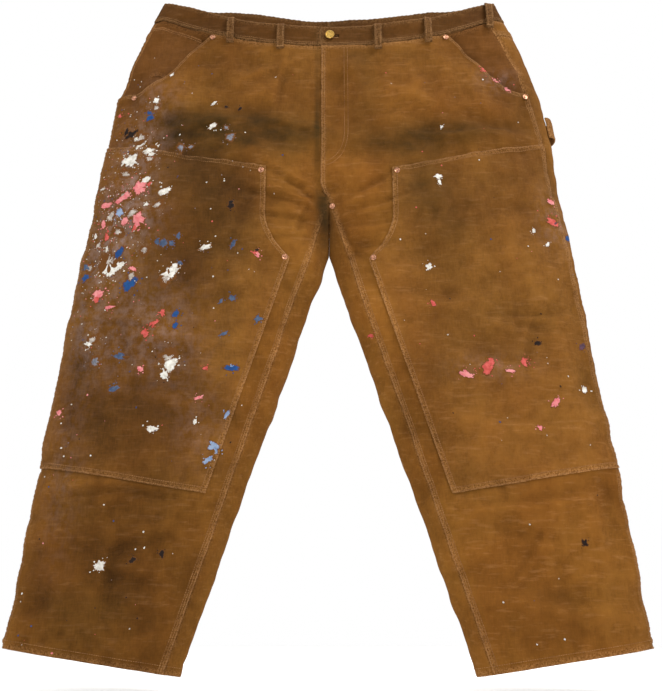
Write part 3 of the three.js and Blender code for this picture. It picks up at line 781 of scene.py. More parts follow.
class Graph:
    """A short way to write a material's nodes."""

    def __init__(self, name: str) -> None:
        """Starts an empty material with its shader and its object coordinates."""
        self.material = bpy.data.materials.new(name)
        self.material.use_nodes = True
        self.tree = self.material.node_tree
        self.shader = self.tree.nodes["Principled BSDF"]
        self.place = self.tree.nodes.new("ShaderNodeTexCoord").outputs["Object"]

    def put(self, kind: str, **values: object) -> bpy.types.Node:
        """Adds a node and sets its named properties."""
        node = self.tree.nodes.new(kind)
        for name, value in values.items():
            setattr(node, name, value)
        return node

    def feed(self, node: bpy.types.Node, socket: int | str, value: object) -> None:
        """Links a socket to an output, or sets it to a value."""
        if isinstance(value, bpy.types.NodeSocket):
            self.tree.links.new(value, node.inputs[socket])
        else:
            node.inputs[socket].default_value = value

    def noise(self, scale: float, detail: float = 4, stretch: tuple = (1, 1, 1), roughness: float = 0.55) -> bpy.types.NodeSocket:
        """Adds noise.

        Args:
            scale: Its scale, in waves for each metre.
            detail: Its octaves.
            stretch: How much finer it is along each axis.
            roughness: How strong the small octaves are.

        Returns:
            The noise's value.
        """
        mapping = self.put("ShaderNodeMapping")
        self.feed(mapping, "Vector", self.place)
        self.feed(mapping, "Scale", stretch)
        node = self.put("ShaderNodeTexNoise")
        self.feed(node, "Vector", mapping.outputs[0])
        self.feed(node, "Scale", scale)
        self.feed(node, "Detail", detail)
        self.feed(node, "Roughness", roughness)
        return node.outputs["Fac"]

    def layer(self, name: str) -> bpy.types.NodeSocket:
        """Reads a number stored at the vertices."""
        return self.put("ShaderNodeAttribute", attribute_name=name).outputs["Fac"]

    def ramp(self, value: bpy.types.NodeSocket, low: float, high: float, least: float = 0, most: float = 1) -> bpy.types.NodeSocket:
        """Maps a value from one range to another, held at both ends."""
        node = self.put("ShaderNodeMapRange")
        for socket, number in enumerate((value, low, high, least, most)):
            self.feed(node, socket, number)
        return node.outputs[0]

    def math(self, operation: str, a: object, b: object) -> bpy.types.NodeSocket:
        """Combines two numbers."""
        node = self.put("ShaderNodeMath", operation=operation)
        self.feed(node, 0, a)
        self.feed(node, 1, b)
        return node.outputs[0]

    def blend(self, share: object, a: object, b: object, way: str = "MIX") -> bpy.types.NodeSocket:
        """Mixes two colours."""
        node = self.put("ShaderNodeMix", data_type="RGBA", blend_type=way)
        self.feed(node, 0, share)
        self.feed(node, 6, a)
        self.feed(node, 7, b)
        return node.outputs[2]

    def scaled(self, colour: object, factor: object) -> bpy.types.NodeSocket:
        """Makes a colour brighter or darker by a factor."""
        node = self.put("ShaderNodeVectorMath", operation="SCALE")
        self.feed(node, 0, colour)
        self.feed(node, 3, factor)
        return node.outputs[0]

    def weave(self, warp: float, weft: float) -> bpy.types.NodeSocket:
        """Adds the height of a plain weave with the given yarn spacings."""
        heights = []
        for direction, spacing in (("X", warp), ("Z", weft)):
            wave = self.put("ShaderNodeTexWave", bands_direction=direction)
            self.feed(wave, "Vector", self.place)
            self.feed(wave, "Scale", math.pi / (10 * spacing))
            self.feed(wave, "Distortion", 1.4)
            self.feed(wave, "Detail Scale", 0.3)
            heights.append(wave.outputs["Fac"])
        return self.math("MULTIPLY", *heights)

    def bump(self, height: bpy.types.NodeSocket, distance: float, strength: float = 1.0) -> None:
        """Raises the surface by a height map."""
        node = self.put("ShaderNodeBump")
        self.feed(node, "Height", height)
        self.feed(node, "Distance", distance)
        self.feed(node, "Strength", strength)
        self.feed(self.shader, "Normal", node.outputs[0])

    def finish(self, colour: object, roughness: object, metallic: float = 0.0) -> bpy.types.Material:
        """Sets the shader's main sockets and gives the material."""
        self.feed(self.shader, "Base Color", colour)
        self.feed(self.shader, "Roughness", roughness)
        self.feed(self.shader, "Metallic", metallic)
        return self.material


@dataclass(frozen=True)
class Finish:
    """What a piece is made of. The material is made once and shared."""

    name: str
    slot: str

    def material(self) -> bpy.types.Material:
        """Makes the material, or finds it."""
        return bpy.data.materials.get(self.name) or self.make(Graph(self.name))

    def make(self, graph: Graph) -> bpy.types.Material:
        """Writes the material's nodes."""
        raise NotImplementedError

    def dress(self, piece: bpy.types.Object) -> None:
        """Puts the material on a piece."""
        piece.data.materials.clear()
        piece.data.materials.append(self.material())


@dataclass(frozen=True)
class CanvasFinish(Finish):
    """Cotton duck: mottled, streaked along the warp, faded at its edges and dirty in places, with painted shadow along
    the fly edge and in the crotch fold, and painted shade and highlight from its folds.
    """

    dark: str = "4a2a0a"
    plain: str = "673f13"
    light: str = "724a19"
    faded: str = "9c7044"
    dirt_and_shadow: str = "2b1f08"
    # The dirt colour, also used for painted shadow along the fly edge and in the crotch fold.
    dust: str = "80685e"
    shade: float = 1.0

    def make(self, graph: Graph) -> bpy.types.Material:
        """Writes the material's nodes."""
        broad = graph.noise(9, 4, (1, 1, 0.7))
        patchy = graph.noise(60, 6, (1.0, 1, 0.8), 0.62)
        streak = graph.noise(520, 3, (1, 1, 0.12))
        slub = graph.noise(600, 2, (0.1, 1, 1))
        rubbed = graph.noise(130, 5, (0.22, 1, 1.5), 0.6)
        colour = graph.blend(graph.ramp(broad, 0.35, 0.65), linear(self.plain), linear(self.light))
        colour = graph.blend(graph.ramp(patchy, 0.46, 0.75, 0, 0.45), colour, linear(self.dark))
        colour = graph.blend(graph.ramp(rubbed, 0.54, 0.78, 0, 0.3), colour, linear(self.faded))
        worn = graph.math("MULTIPLY", graph.layer("wear"), graph.ramp(graph.noise(240, 4), 0.3, 0.62))
        colour = graph.blend(worn, colour, linear(self.faded))
        roping = graph.noise(480, 3, (1, 1, 1), 0.6)
        seam = graph.layer("seam")
        colour = graph.blend(graph.math("MULTIPLY", seam, graph.ramp(roping, 0.46, 0.62, 0.04, 0.4)), colour, linear(self.faded))
        colour = graph.blend(graph.math("MULTIPLY", seam, graph.ramp(roping, 0.5, 0.38, 0, 0.6)), colour, linear(self.dark))
        # Mixes in the dirt colour over real stains, and as painted shadow along the fly edge and in the crotch fold.
        dirt_and_shadow_share = graph.math("MULTIPLY", graph.layer("grime_and_shadow"), graph.ramp(graph.noise(30, 6, (0.7, 1, 1.2), 0.6), 0.25, 0.7, 0.35, 1))
        colour = graph.blend(dirt_and_shadow_share, colour, linear(self.dirt_and_shadow))
        dusty = graph.math("MULTIPLY", graph.layer("dust"), graph.ramp(graph.noise(75, 6, (1, 1, 0.8), 0.7), 0.42, 0.66))
        colour = graph.blend(dusty, colour, linear(self.dust))
        grain = graph.math("ADD", graph.ramp(streak, 0.3, 0.7, -0.08, 0.08), graph.ramp(slub, 0.3, 0.7, -0.06, 0.06))
        # Scales the colour by the tone layer: lighter and darker cloth, plus painted shade and highlight from the folds
        # and a painted shadow in the crotch fold.
        tone_and_shade = graph.math("MULTIPLY_ADD", graph.layer("tone_and_shade"), 0.8)
        tone_and_shade.node.inputs[2].default_value = self.shade
        colour = graph.scaled(colour, graph.math("ADD", tone_and_shade, grain))
        rough = graph.ramp(patchy, 0.3, 0.7, 0.86, 0.96)
        yarn = graph.math("ADD", graph.weave(0.95 * MM, 1.15 * MM), graph.math("MULTIPLY", patchy, 1.6))
        graph.bump(graph.math("ADD", yarn, graph.math("MULTIPLY", streak, 0.8)), 0.35 * MM, 0.7)
        graph.shader.inputs["Specular IOR Level"].default_value = 0.1
        return graph.finish(colour, rough)


@dataclass(frozen=True)
class YarnFinish(Finish):
    """Plain cotton: thread, pocket lining or zip tape."""

    light: str
    dark: str
    spacing: float

    def make(self, graph: Graph) -> bpy.types.Material:
        """Writes the material's nodes."""
        mottle = graph.noise(45, 5)
        twist = graph.noise(1500, 2, (1, 1, 0.5))
        colour = graph.blend(graph.ramp(mottle, 0.35, 0.65), linear(self.light), linear(self.dark))
        colour = graph.scaled(colour, graph.ramp(twist, 0.3, 0.7, 0.85, 1.12))
        graph.bump(graph.weave(self.spacing, self.spacing), 0.15 * MM, 0.6)
        return graph.finish(colour, graph.ramp(mottle, 0.3, 0.7, 0.82, 0.95))


@dataclass(frozen=True)
class MetalFinish(Finish):
    """Worn plated metal, blotched dull and bright, and scratched."""

    bright: str
    dull: str
    roughness: float

    def make(self, graph: Graph) -> bpy.types.Material:
        """Writes the material's nodes."""
        blotch = graph.noise(420, 5, (1, 1, 1), 0.65)
        scratch = graph.noise(2400, 3, (1, 1, 0.1))
        colour = graph.blend(graph.ramp(blotch, 0.42, 0.66), linear(self.bright), linear(self.dull))
        rough = graph.math("ADD", graph.ramp(blotch, 0.3, 0.7, self.roughness, self.roughness + 0.25), graph.ramp(scratch, 0.4, 0.6, 0, 0.1))
        graph.bump(graph.math("ADD", blotch, scratch), 0.06 * MM, 0.5)
        return graph.finish(colour, rough, 1.0)


@dataclass(frozen=True)
class PaintFinish(Finish):
    """Dried paint, worn through to the canvas near its rim."""

    colour: str
    tint: str
    thin: float = 0.0
    ground: str = "5e3811"

    def make(self, graph: Graph) -> bpy.types.Material:
        """Writes the material's nodes."""
        mottle = graph.noise(160, 5)
        fleck = graph.noise(700, 3, (1, 1, 0.7), 0.6)
        colour = graph.blend(graph.ramp(mottle, 0.4, 0.62), linear(self.colour), linear(self.tint))
        bare = graph.math("SUBTRACT", graph.math("ADD", fleck, 0.18 + self.thin), graph.layer("cover"))
        colour = graph.blend(graph.ramp(bare, 0.02, 0.2), colour, linear(self.ground))
        graph.bump(graph.math("ADD", graph.weave(0.95 * MM, 1.15 * MM), fleck), 0.3 * MM, 0.7)
        graph.shader.inputs["Specular IOR Level"].default_value = 0.12
        return graph.finish(colour, graph.ramp(mottle, 0.3, 0.7, 0.5, 0.72))


@dataclass(frozen=True)
class FloorFinish(Finish):
    """The pale floor under the object."""

    def make(self, graph: Graph) -> bpy.types.Material:
        """Writes the material's nodes."""
        haze = graph.noise(2, 3)
        colour = graph.blend(haze, linear("fcfcfb"), linear("fefefe"))
        return graph.finish(colour, 0.9)


CANVAS_FINISH = CanvasFinish("duck_canvas", "canvas")
BAND_FINISH = CanvasFinish("waistband_canvas", "canvas", dark="2e1a05", plain="462808", light="50300c", faded="7c5a36")
FACING_FINISH = CanvasFinish("facing_canvas", "canvas", dark="40250a", plain="5a3611", light="643e17", faded="84582f")
THREAD_FINISH = YarnFinish("seam_thread", "canvas", light="986e40", dark="6a441e", spacing=0.4 * MM)
LINING_FINISH = YarnFinish("pocket_lining", "lining", light="c2ab80", dark="b0986c", spacing=0.6 * MM)
TAPE_FINISH = YarnFinish("zip_tape", "zip_tape", light="7a5630", dark="654523", spacing=0.5 * MM)
BRASS_FINISH = MetalFinish("satin_brass", "brass", bright="dcb562", dull="8a6a34", roughness=0.16)
COPPER_FINISH = MetalFinish("worn_copper", "copper", bright="d09878", dull="543424", roughness=0.22)
FLOOR_FINISH = FloorFinish("pale_floor", "floor")


# ---- Stitching ----


@dataclass
class Stitches:
    """Rows of thread on the cloth, gathered into one mesh for each group."""

    pitch: float = 3.4 * MM
    length: float = 2.7 * MM
    radius: float = 0.36 * MM
    rise: float = 0.22 * MM
    sink: float = 0.3 * MM
    groups: dict = field(default_factory=dict)

    def row(self, group: str, side: int, lay: Lay, lowest_x: float = UNBOUND, crowd: float = 1.0) -> None:
        """Sews a row along a line.

        Args:
            group: The mesh it belongs to.
            side: RIGHT or LEFT.
            lay: The line.
            lowest_x: As for the cloth under it.
            crowd: How much closer together than usual the stitches are.
        """
        points, normals = FORM.place(side, lay.turn, lay.z, 0.0, lowest_x)
        run = np.concatenate([[0], np.cumsum(np.linalg.norm(np.diff(points, axis=0), axis=-1))])
        pitch = self.pitch / crowd
        count = int(run[-1] / pitch)
        if count < 1:
            return
        middles = (np.arange(count) + 0.5) * run[-1] / count
        half = self.length / crowd / 2
        at = [np.stack([np.interp(middles + step, run, points[:, k]) for k in range(3)], axis=-1) for step in (-half, half)]
        out = np.stack([np.interp(middles, run, normals[:, k]) for k in range(3)], axis=-1)
        self.add(group, at[0], at[1], out)

    def add(self, group: str, begin: Array, end: Array, out: Array) -> None:
        """Adds stitches by their ends and outward directions."""
        out = out / np.linalg.norm(out, axis=-1, keepdims=True)
        begin, end = DRAPE.drop(begin, out), DRAPE.drop(end, out)
        self.groups.setdefault(group, []).append((begin, end, out))

    def tack(self, group: str, side: int, x: float, z: float, face: int, width: float, tall: float, lowest_x: float = UNBOUND) -> None:
        """Sews a bar tack: a block of close upright stitches.

        Args:
            group: The mesh it belongs to.
            side: RIGHT or LEFT.
            x: The tack's middle, without sign.
            z: Its height.
            face: FRONT or BACK.
            width: Its width.
            tall: Its height.
            lowest_x: As for the cloth under it.
        """
        count = int(width / (0.9 * MM)) + 1
        xs = x + np.linspace(-0.5, 0.5, count) * width
        ends = []
        for step in (tall / 2, -tall / 2):
            zs = np.full(count, z + step)
            ends.append(FORM.place(side, face * FORM.turn_at(xs, zs), zs, 0.0, lowest_x))
        self.add(group, ends[0][0], ends[1][0], ends[0][1])

    def build(self, group: str) -> bpy.types.Object:
        """Makes one group's mesh: each stitch is a short thread whose ends go into the cloth."""
        begin, end, out = (np.concatenate(part) for part in zip(*self.groups[group]))
        along = end - begin
        length = np.linalg.norm(along, axis=-1, keepdims=True)
        along = along / np.maximum(length, 1e-9)
        across = np.cross(along, out)
        across /= np.maximum(np.linalg.norm(across, axis=-1, keepdims=True), 1e-9)
        up = np.cross(across, along)
        rings = []
        for share, height, thick in ((-0.02, -self.sink, 0.7), (0.22, self.rise * 0.8, 1.0), (0.78, self.rise * 0.8, 1.0), (1.02, -self.sink, 0.7)):
            middle = mix(begin, end, share) + up * height
            for side, lift in ((1, 0), (0, 1), (-1, 0), (0, -1)):
                rings.append(middle + self.radius * thick * (across * side + up * lift))
        points = np.stack(rings, axis=1).reshape(-1, 3)
        faces = [[3, 2, 1, 0], [12, 13, 14, 15]]
        for ring in range(3):
            for k in range(4):
                a, b = 4 * ring + k, 4 * ring + (k + 1) % 4
                faces.append([a, b, b + 4, a + 4])
        every = (np.array(faces)[None] + 16 * np.arange(len(begin))[:, None, None]).reshape(-1, 4)
        piece = mesh_object(f"stitches_{group}", points, every, 75)
        THREAD_FINISH.dress(piece)
        log.info("stitches_%s: %d stitches", group, len(begin))
        return piece


STITCHES = Stitches()


def ride(piece: bpy.types.Object, body: str, *nodes: str) -> bpy.types.Object:
    """Fixes a piece to a body and lets it stand for CAD nodes."""
    if nodes:
        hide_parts(*nodes)
    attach(piece, body)
    return piece


def fold_open(piece: bpy.types.Object, *nodes: str) -> bpy.types.Object:
    """Bakes a piece's placement into its mesh, and lets it stand for CAD nodes."""
    if nodes:
        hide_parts(*nodes)
    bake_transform(piece)
    return piece


def side_name(side: int) -> str:
    """Gives the wearer's side in words."""
    return "left" if side == LEFT else "right"


def front_group(side: int) -> str:
    """Gives the stitch group of the front of a side."""
    return "left_front" if side == LEFT else "right_front"


# ---- Panels ----


@dataclass
class Panels:
    """The four long panels and the back yokes."""

    outseam_right: tuple[float, float] = (0.05, 0.05)
    outseam_left: tuple[float, float] = (0.5, 0.08)
    mouth_inner_x: float = 0.207
    mouth_outer_x: float = 0.340
    mouth_drop: float = 0.122
    mouth_curve: float = 1.15
    yoke_centre: float = 0.062
    yoke_side: float = 0.034
    fly_edge_x: float = -0.014
    fly_base_z: float = -0.326
    flap_lift: float = 0.9 * MM
    hem_width: float = 14 * MM
    fronts: dict = field(default_factory=dict)
    backs: dict = field(default_factory=dict)
    yokes: dict = field(default_factory=dict)

    def outseam(self, side: int, z: Array) -> Array:
        """Gives the turn of the outseam at height z."""
        waist, hem = self.outseam_left if side == LEFT else self.outseam_right
        return mix(waist, hem, np.clip(z / FORM.hem_outer_z, 0, 1))

    def mouth(self, x: Array) -> Array:
        """Gives the height of the slanted pocket mouth."""
        share = np.clip((x - self.mouth_inner_x) / (self.mouth_outer_x - self.mouth_inner_x), 0, 1)
        start = FORM.band_base(np.array(self.mouth_inner_x), np.array(1.0))
        return start - self.mouth_drop * np.sin(share * np.pi / 2) ** self.mouth_curve

    def front_top(self, x: Array, turn: Array) -> Array:
        """Gives the top edge of a front panel."""
        return np.minimum(FORM.band_base(x, turn + 9), self.mouth(x)) - SEAM_GAP

    def fly_fold_x(self, z: Array) -> Array:
        """Gives the x of the line where the fly flap folds."""
        return HINGE_AXIS[0] / HINGE_AXIS[2] * (z - HINGE_FOOT[2])

    def front_edge_x(self, side: int, z: Array) -> Array:
        """Gives the x of a front panel's inner edge, down the fly and then the inseam."""
        inseam = FORM.inseam_x(z) + SEAM_GAP
        if side == RIGHT:
            return np.where(z > CROTCH_Z, np.maximum(mix(0.005, CENTRE_GAP, smooth((-0.33 - z) / 0.03)), inseam), inseam)
        closing = smooth((self.fly_base_z - z) / (self.fly_base_z - CROTCH_Z + 0.006))
        return np.where(z > CROTCH_Z - 0.02, mix(self.fly_edge_x, inseam, closing), inseam)

    def front_lift(self, side: int) -> Callable[[Lay], Array]:
        """Gives a front panel's lift: raised seams, a rolled hem, and the fly flap over the other side."""
        def lift(lay: Lay) -> Array:
            height = np.full_like(lay.turn, -CANVAS)
            height += ridge(lay.off(Edge.START), SEAM_WIDTH, 0.7 * MM)
            below = smooth((CROTCH_Z + 0.03 - lay.z) / 0.03)
            height += below * ridge(lay.off(Edge.STOP), SEAM_WIDTH, 0.7 * MM)
            slanted = smooth((lay.x - self.mouth_inner_x + 0.004) / 0.006)
            height += slanted * (ridge(lay.off(Edge.TOP), 10 * MM, 0.8 * MM) + pucker(lay.x, lay.off(Edge.TOP), 14 * MM, 0.45 * MM))
            height += (1 - slanted) * pucker(lay.x, lay.off(Edge.TOP), 16 * MM, 0.6 * MM)
            height += pucker(lay.z, lay.off(Edge.START), 18 * MM, 0.55 * MM)
            height += pucker(lay.z, lay.off(Edge.STOP), 18 * MM, 0.55 * MM)
            height += ridge(lay.off(Edge.BASE), self.hem_width, 0.9 * MM)
            height += pucker(lay.x, lay.off(Edge.BASE), 20 * MM, 0.7 * MM)
            if side == LEFT:
                fly = smooth((0.036 - lay.x) / 0.006) * smooth((lay.x + 0.022) / 0.006) * smooth((lay.z + 0.31) / 0.03)
                ripple = np.sin(lay.z / (1.9 * MM) + 1.5 * np.sin(lay.z / 0.013) + lay.x / 0.006)
                height += 0.35 * MM * fly * ripple * (lay.z < -0.07)
                over = smooth((self.fly_fold_x(lay.z) + 0.004 - lay.x) / 0.012) * smooth((lay.z + 0.385) / 0.02)
                height += over * (CANVAS + self.flap_lift)
            return height
        return lift

    def back_lift(self, lay: Lay) -> Array:
        """Gives a back panel's lift: its seam edges tuck behind the front, and its hem is rolled."""
        height = np.full_like(lay.turn, -CANVAS)
        height -= ridge(lay.off(Edge.START), TUCK, 1.7 * MM)
        low = smooth((CROTCH_Z - 0.01 - lay.z) / 0.03)
        height -= low * ridge(lay.off(Edge.STOP), TUCK, 1.7 * MM)
        height += (1 - low) * ridge(lay.off(Edge.STOP), SEAM_WIDTH, 0.7 * MM)
        height += pucker(lay.z, lay.off(Edge.START) - TUCK, 15 * MM, 0.5 * MM)
        height += pucker(lay.z, lay.off(Edge.STOP) - TUCK * low, 15 * MM, 0.5 * MM)
        height += ridge(lay.off(Edge.BASE), self.hem_width, 0.9 * MM)
        height += pucker(lay.x, lay.off(Edge.BASE), 20 * MM, 0.7 * MM)
        return height

    def yoke_line(self, x: Array, turn: Array) -> Array:
        """Gives the seam between the yoke and the back panel."""
        share = np.where(turn < 0, np.clip(x / FORM.waist_half_width, 0, 1), 1)
        return FORM.band_base(x, turn) - mix(self.yoke_centre, self.yoke_side, share)

    def back_stop(self, z: Array) -> Array:
        """Gives the turn where a back panel ends: at the seat seam, then through the crotch to the inseam."""
        over_back = FORM.turn_at(np.array(CENTRE_GAP), z)
        inseam = FORM.shift(FORM.turn_at(FORM.inseam_x(z), z), z, -TUCK)
        return -mix(over_back, 2 * np.pi - inseam, smooth((CROTCH_Z + SEAT_CROSSING - z) / SEAT_CROSSING))

    def build(self) -> None:
        """Makes the panels and the yokes."""
        for side in (RIGHT, LEFT):
            name = side_name(side)
            front = Cloth(
                f"front_{name}", side,
                start=lambda z, s=side: self.outseam(s, z) + SEAM_GAP / 0.04,
                stop=lambda z, s=side: FORM.turn_at(self.front_edge_x(s, z), z),
                top=self.front_top, base=FORM.hem, lift=self.front_lift(side),
            )
            piece = front.build(CANVAS_FINISH)
            if side == LEFT:
                fold_open(piece, "front_panel_left", "fly_flap")
            else:
                ride(piece, "trousers", "front_panel_right")
            back = Cloth(
                f"back_{name}", side,
                start=lambda z, s=side: FORM.shift(self.outseam(s, z), z, TUCK),
                stop=self.back_stop, top=lambda x, turn: self.yoke_line(x, turn) - SEAM_GAP,
                base=FORM.hem, lift=self.back_lift, lowest_x=CENTRE_GAP, pitch=5 * MM,
            )
            ride(back.build(CANVAS_FINISH), "trousers", f"back_panel_{name}")
            yoke = Cloth(
                f"yoke_{name}", side,
                start=lambda z, s=side: FORM.shift(self.outseam(s, z), z, TUCK),
                stop=lambda z: -FORM.turn_at(np.array(CENTRE_GAP), z),
                top=lambda x, turn: FORM.band_base(x, turn) - SEAM_GAP, base=self.yoke_line,
                lift=self.yoke_lift, lowest_x=CENTRE_GAP,
            )
            ride(yoke.build(CANVAS_FINISH), "trousers", f"back_yoke_{name}")
            self.fronts[side], self.backs[side], self.yokes[side] = front, back, yoke

    def yoke_lift(self, lay: Lay) -> Array:
        """Gives a yoke's lift: tucked at the side and raised along its lower seam."""
        height = np.full_like(lay.turn, -CANVAS) - ridge(lay.off(Edge.START), TUCK, 1.7 * MM)
        return height + ridge(lay.off(Edge.BASE), SEAM_WIDTH, 0.8 * MM) + pucker(lay.x, lay.off(Edge.BASE), 15 * MM, 0.5 * MM)

    def sew(self) -> None:
        """Sews the long seams, the hems, the pocket mouths, the yokes and the fly."""
        crotch_share = (CROTCH_Z - 0.03) / FORM.hem_outer_z
        for side in (RIGHT, LEFT):
            group = front_group(side)
            front, back, yoke = self.fronts[side], self.backs[side], self.yokes[side]
            for distance in (1.6, 5.2, 8.8):
                STITCHES.row(group, side, front.line(Edge.START, distance * MM))
                STITCHES.row(group, side, front.line(Edge.STOP, distance * MM, crotch_share))
                STITCHES.row("back", side, back.line(Edge.STOP, distance * MM, 0.0, 0.2), CENTRE_GAP)
                STITCHES.row("back", side, yoke.line(Edge.BASE, distance * MM), CENTRE_GAP)
            STITCHES.row("back", side, back.line(Edge.BASE, 12 * MM), CENTRE_GAP)
            STITCHES.row(group, side, front.line(Edge.BASE, 12 * MM))
            for distance in (2.0, 7.5):
                STITCHES.row(group, side, self.mouth_row(side, distance * MM))
        self.sew_fly()

    def mouth_row(self, side: int, distance: float) -> Lay:
        """Gives a row of stitches beside a pocket mouth."""
        front = self.fronts[side]
        row = front.line(Edge.TOP, distance, 0.0, 1.0)
        inside = (row.x > self.mouth_inner_x - 0.004) & (row.x < self.mouth_outer_x + 0.012)
        return Lay(row.turn[inside], row.z[inside], row.x[inside], row.share[inside], row.fall[inside], row.width[inside], row.height[inside])

    def sew_fly(self) -> None:
        """Sews the fly flap's edge and the two curved rows that hold its facing."""
        for distance in (2.0, 6.0):
            STITCHES.row("left_front", LEFT, self.fronts[LEFT].line(Edge.STOP, distance * MM, 0.0, 0.27))
        for inset in (0.0, 6 * MM):
            z = np.linspace(-0.066, -0.300, 300)
            curve = np.clip((-0.236 - z) / 0.064, 0, 1)
            x = mix(0.032, -0.008, 1 - np.sqrt(np.clip(1 - curve ** 2, 0, 1))) - inset * (1 - 0.3 * curve)
            z = z + inset * curve
            self.sew_path("left_front", x, z)

    def sew_path(self, group: str, x: Array, z: Array) -> None:
        """Sews a row along points on the front of the left side."""
        blank = np.zeros_like(x)
        STITCHES.row(group, LEFT, Lay(FORM.turn_at(x, z), z, x, blank, blank, blank, blank))


# ---- Double fronts ----


@dataclass
class DoubleFronts:
    """The second layer over each thigh and knee, scooped at the inseam."""

    panels: Panels
    inner_x: float = 0.105
    top_inner_z: float = -0.308
    top_slope: float = 0.19
    scoop_top_z: float = -0.390
    notch_z: float = -0.470
    inseam_margin: float = 0.031
    base_inner_x: float = 0.182
    base_inner_z: float = -0.850
    base_slope: float = 0.16
    swell: float = 1.1 * MM
    pieces: dict = field(default_factory=dict)

    def inner_edge_x(self, z: Array) -> Array:
        """Gives the x of the inner edge, with its scoop around the crotch."""
        notch_x = FORM.inseam_x(np.array(self.notch_z)) + self.inseam_margin
        scoop = np.clip((self.scoop_top_z - z) / (self.scoop_top_z - self.notch_z), 0, 1)
        return np.where(z < self.notch_z, FORM.inseam_x(z) + self.inseam_margin, mix(self.inner_x, notch_x, scoop ** 2))

    def lift(self, lay: Lay) -> Array:
        """Gives the lift: stitched down at its edges and a little full between them."""
        edge = lay.nearest(ALL_EDGES)
        height = 0.2 * MM + 0.7 * MM * (1 - smooth((lay.off(Edge.START) - SEAM_WIDTH) / (4 * MM)))
        height += self.swell * (1 - np.exp(-edge / (22 * MM)))
        height += ridge(edge, 9 * MM, 0.5 * MM)
        height += pucker(lay.x, np.minimum(lay.off(Edge.TOP), lay.off(Edge.BASE)), 15 * MM, 0.55 * MM)
        height += pucker(lay.z, np.minimum(lay.off(Edge.START), lay.off(Edge.STOP)), 15 * MM, 0.5 * MM)
        return height + 0.5 * MM

    def build(self) -> None:
        """Makes both layers."""
        for side in (RIGHT, LEFT):
            name = side_name(side)
            cloth = Cloth(
                f"double_front_{name}_cloth", side,
                start=lambda z, s=side: self.panels.outseam(s, z) + 0.02,
                stop=lambda z: FORM.turn_at(self.inner_edge_x(z), z),
                top=lambda x, turn: self.top_inner_z + self.top_slope * (x - self.inner_x) + 0 * turn,
                base=lambda x, turn: self.base_inner_z + self.base_slope * (x - self.base_inner_x) + 0 * turn,
                lift=self.lift,
            )
            ride(cloth.build(CANVAS_FINISH, fade=0.06), "trousers", f"double_front_{name}")
            self.pieces[side] = cloth

    def sew(self) -> None:
        """Sews two rows along the top, the base and the inner edge."""
        for side, cloth in self.pieces.items():
            group = front_group(side)
            for distance in (1.8, 8.2):
                for edge in (Edge.TOP, Edge.BASE, Edge.STOP):
                    STITCHES.row(group, side, cloth.line(edge, distance * MM))


# ---- Waist ----


@dataclass(frozen=True)
class LoopPlace:
    """Where a belt loop is sewn."""

    name: str
    side: int
    face: int
    x: float


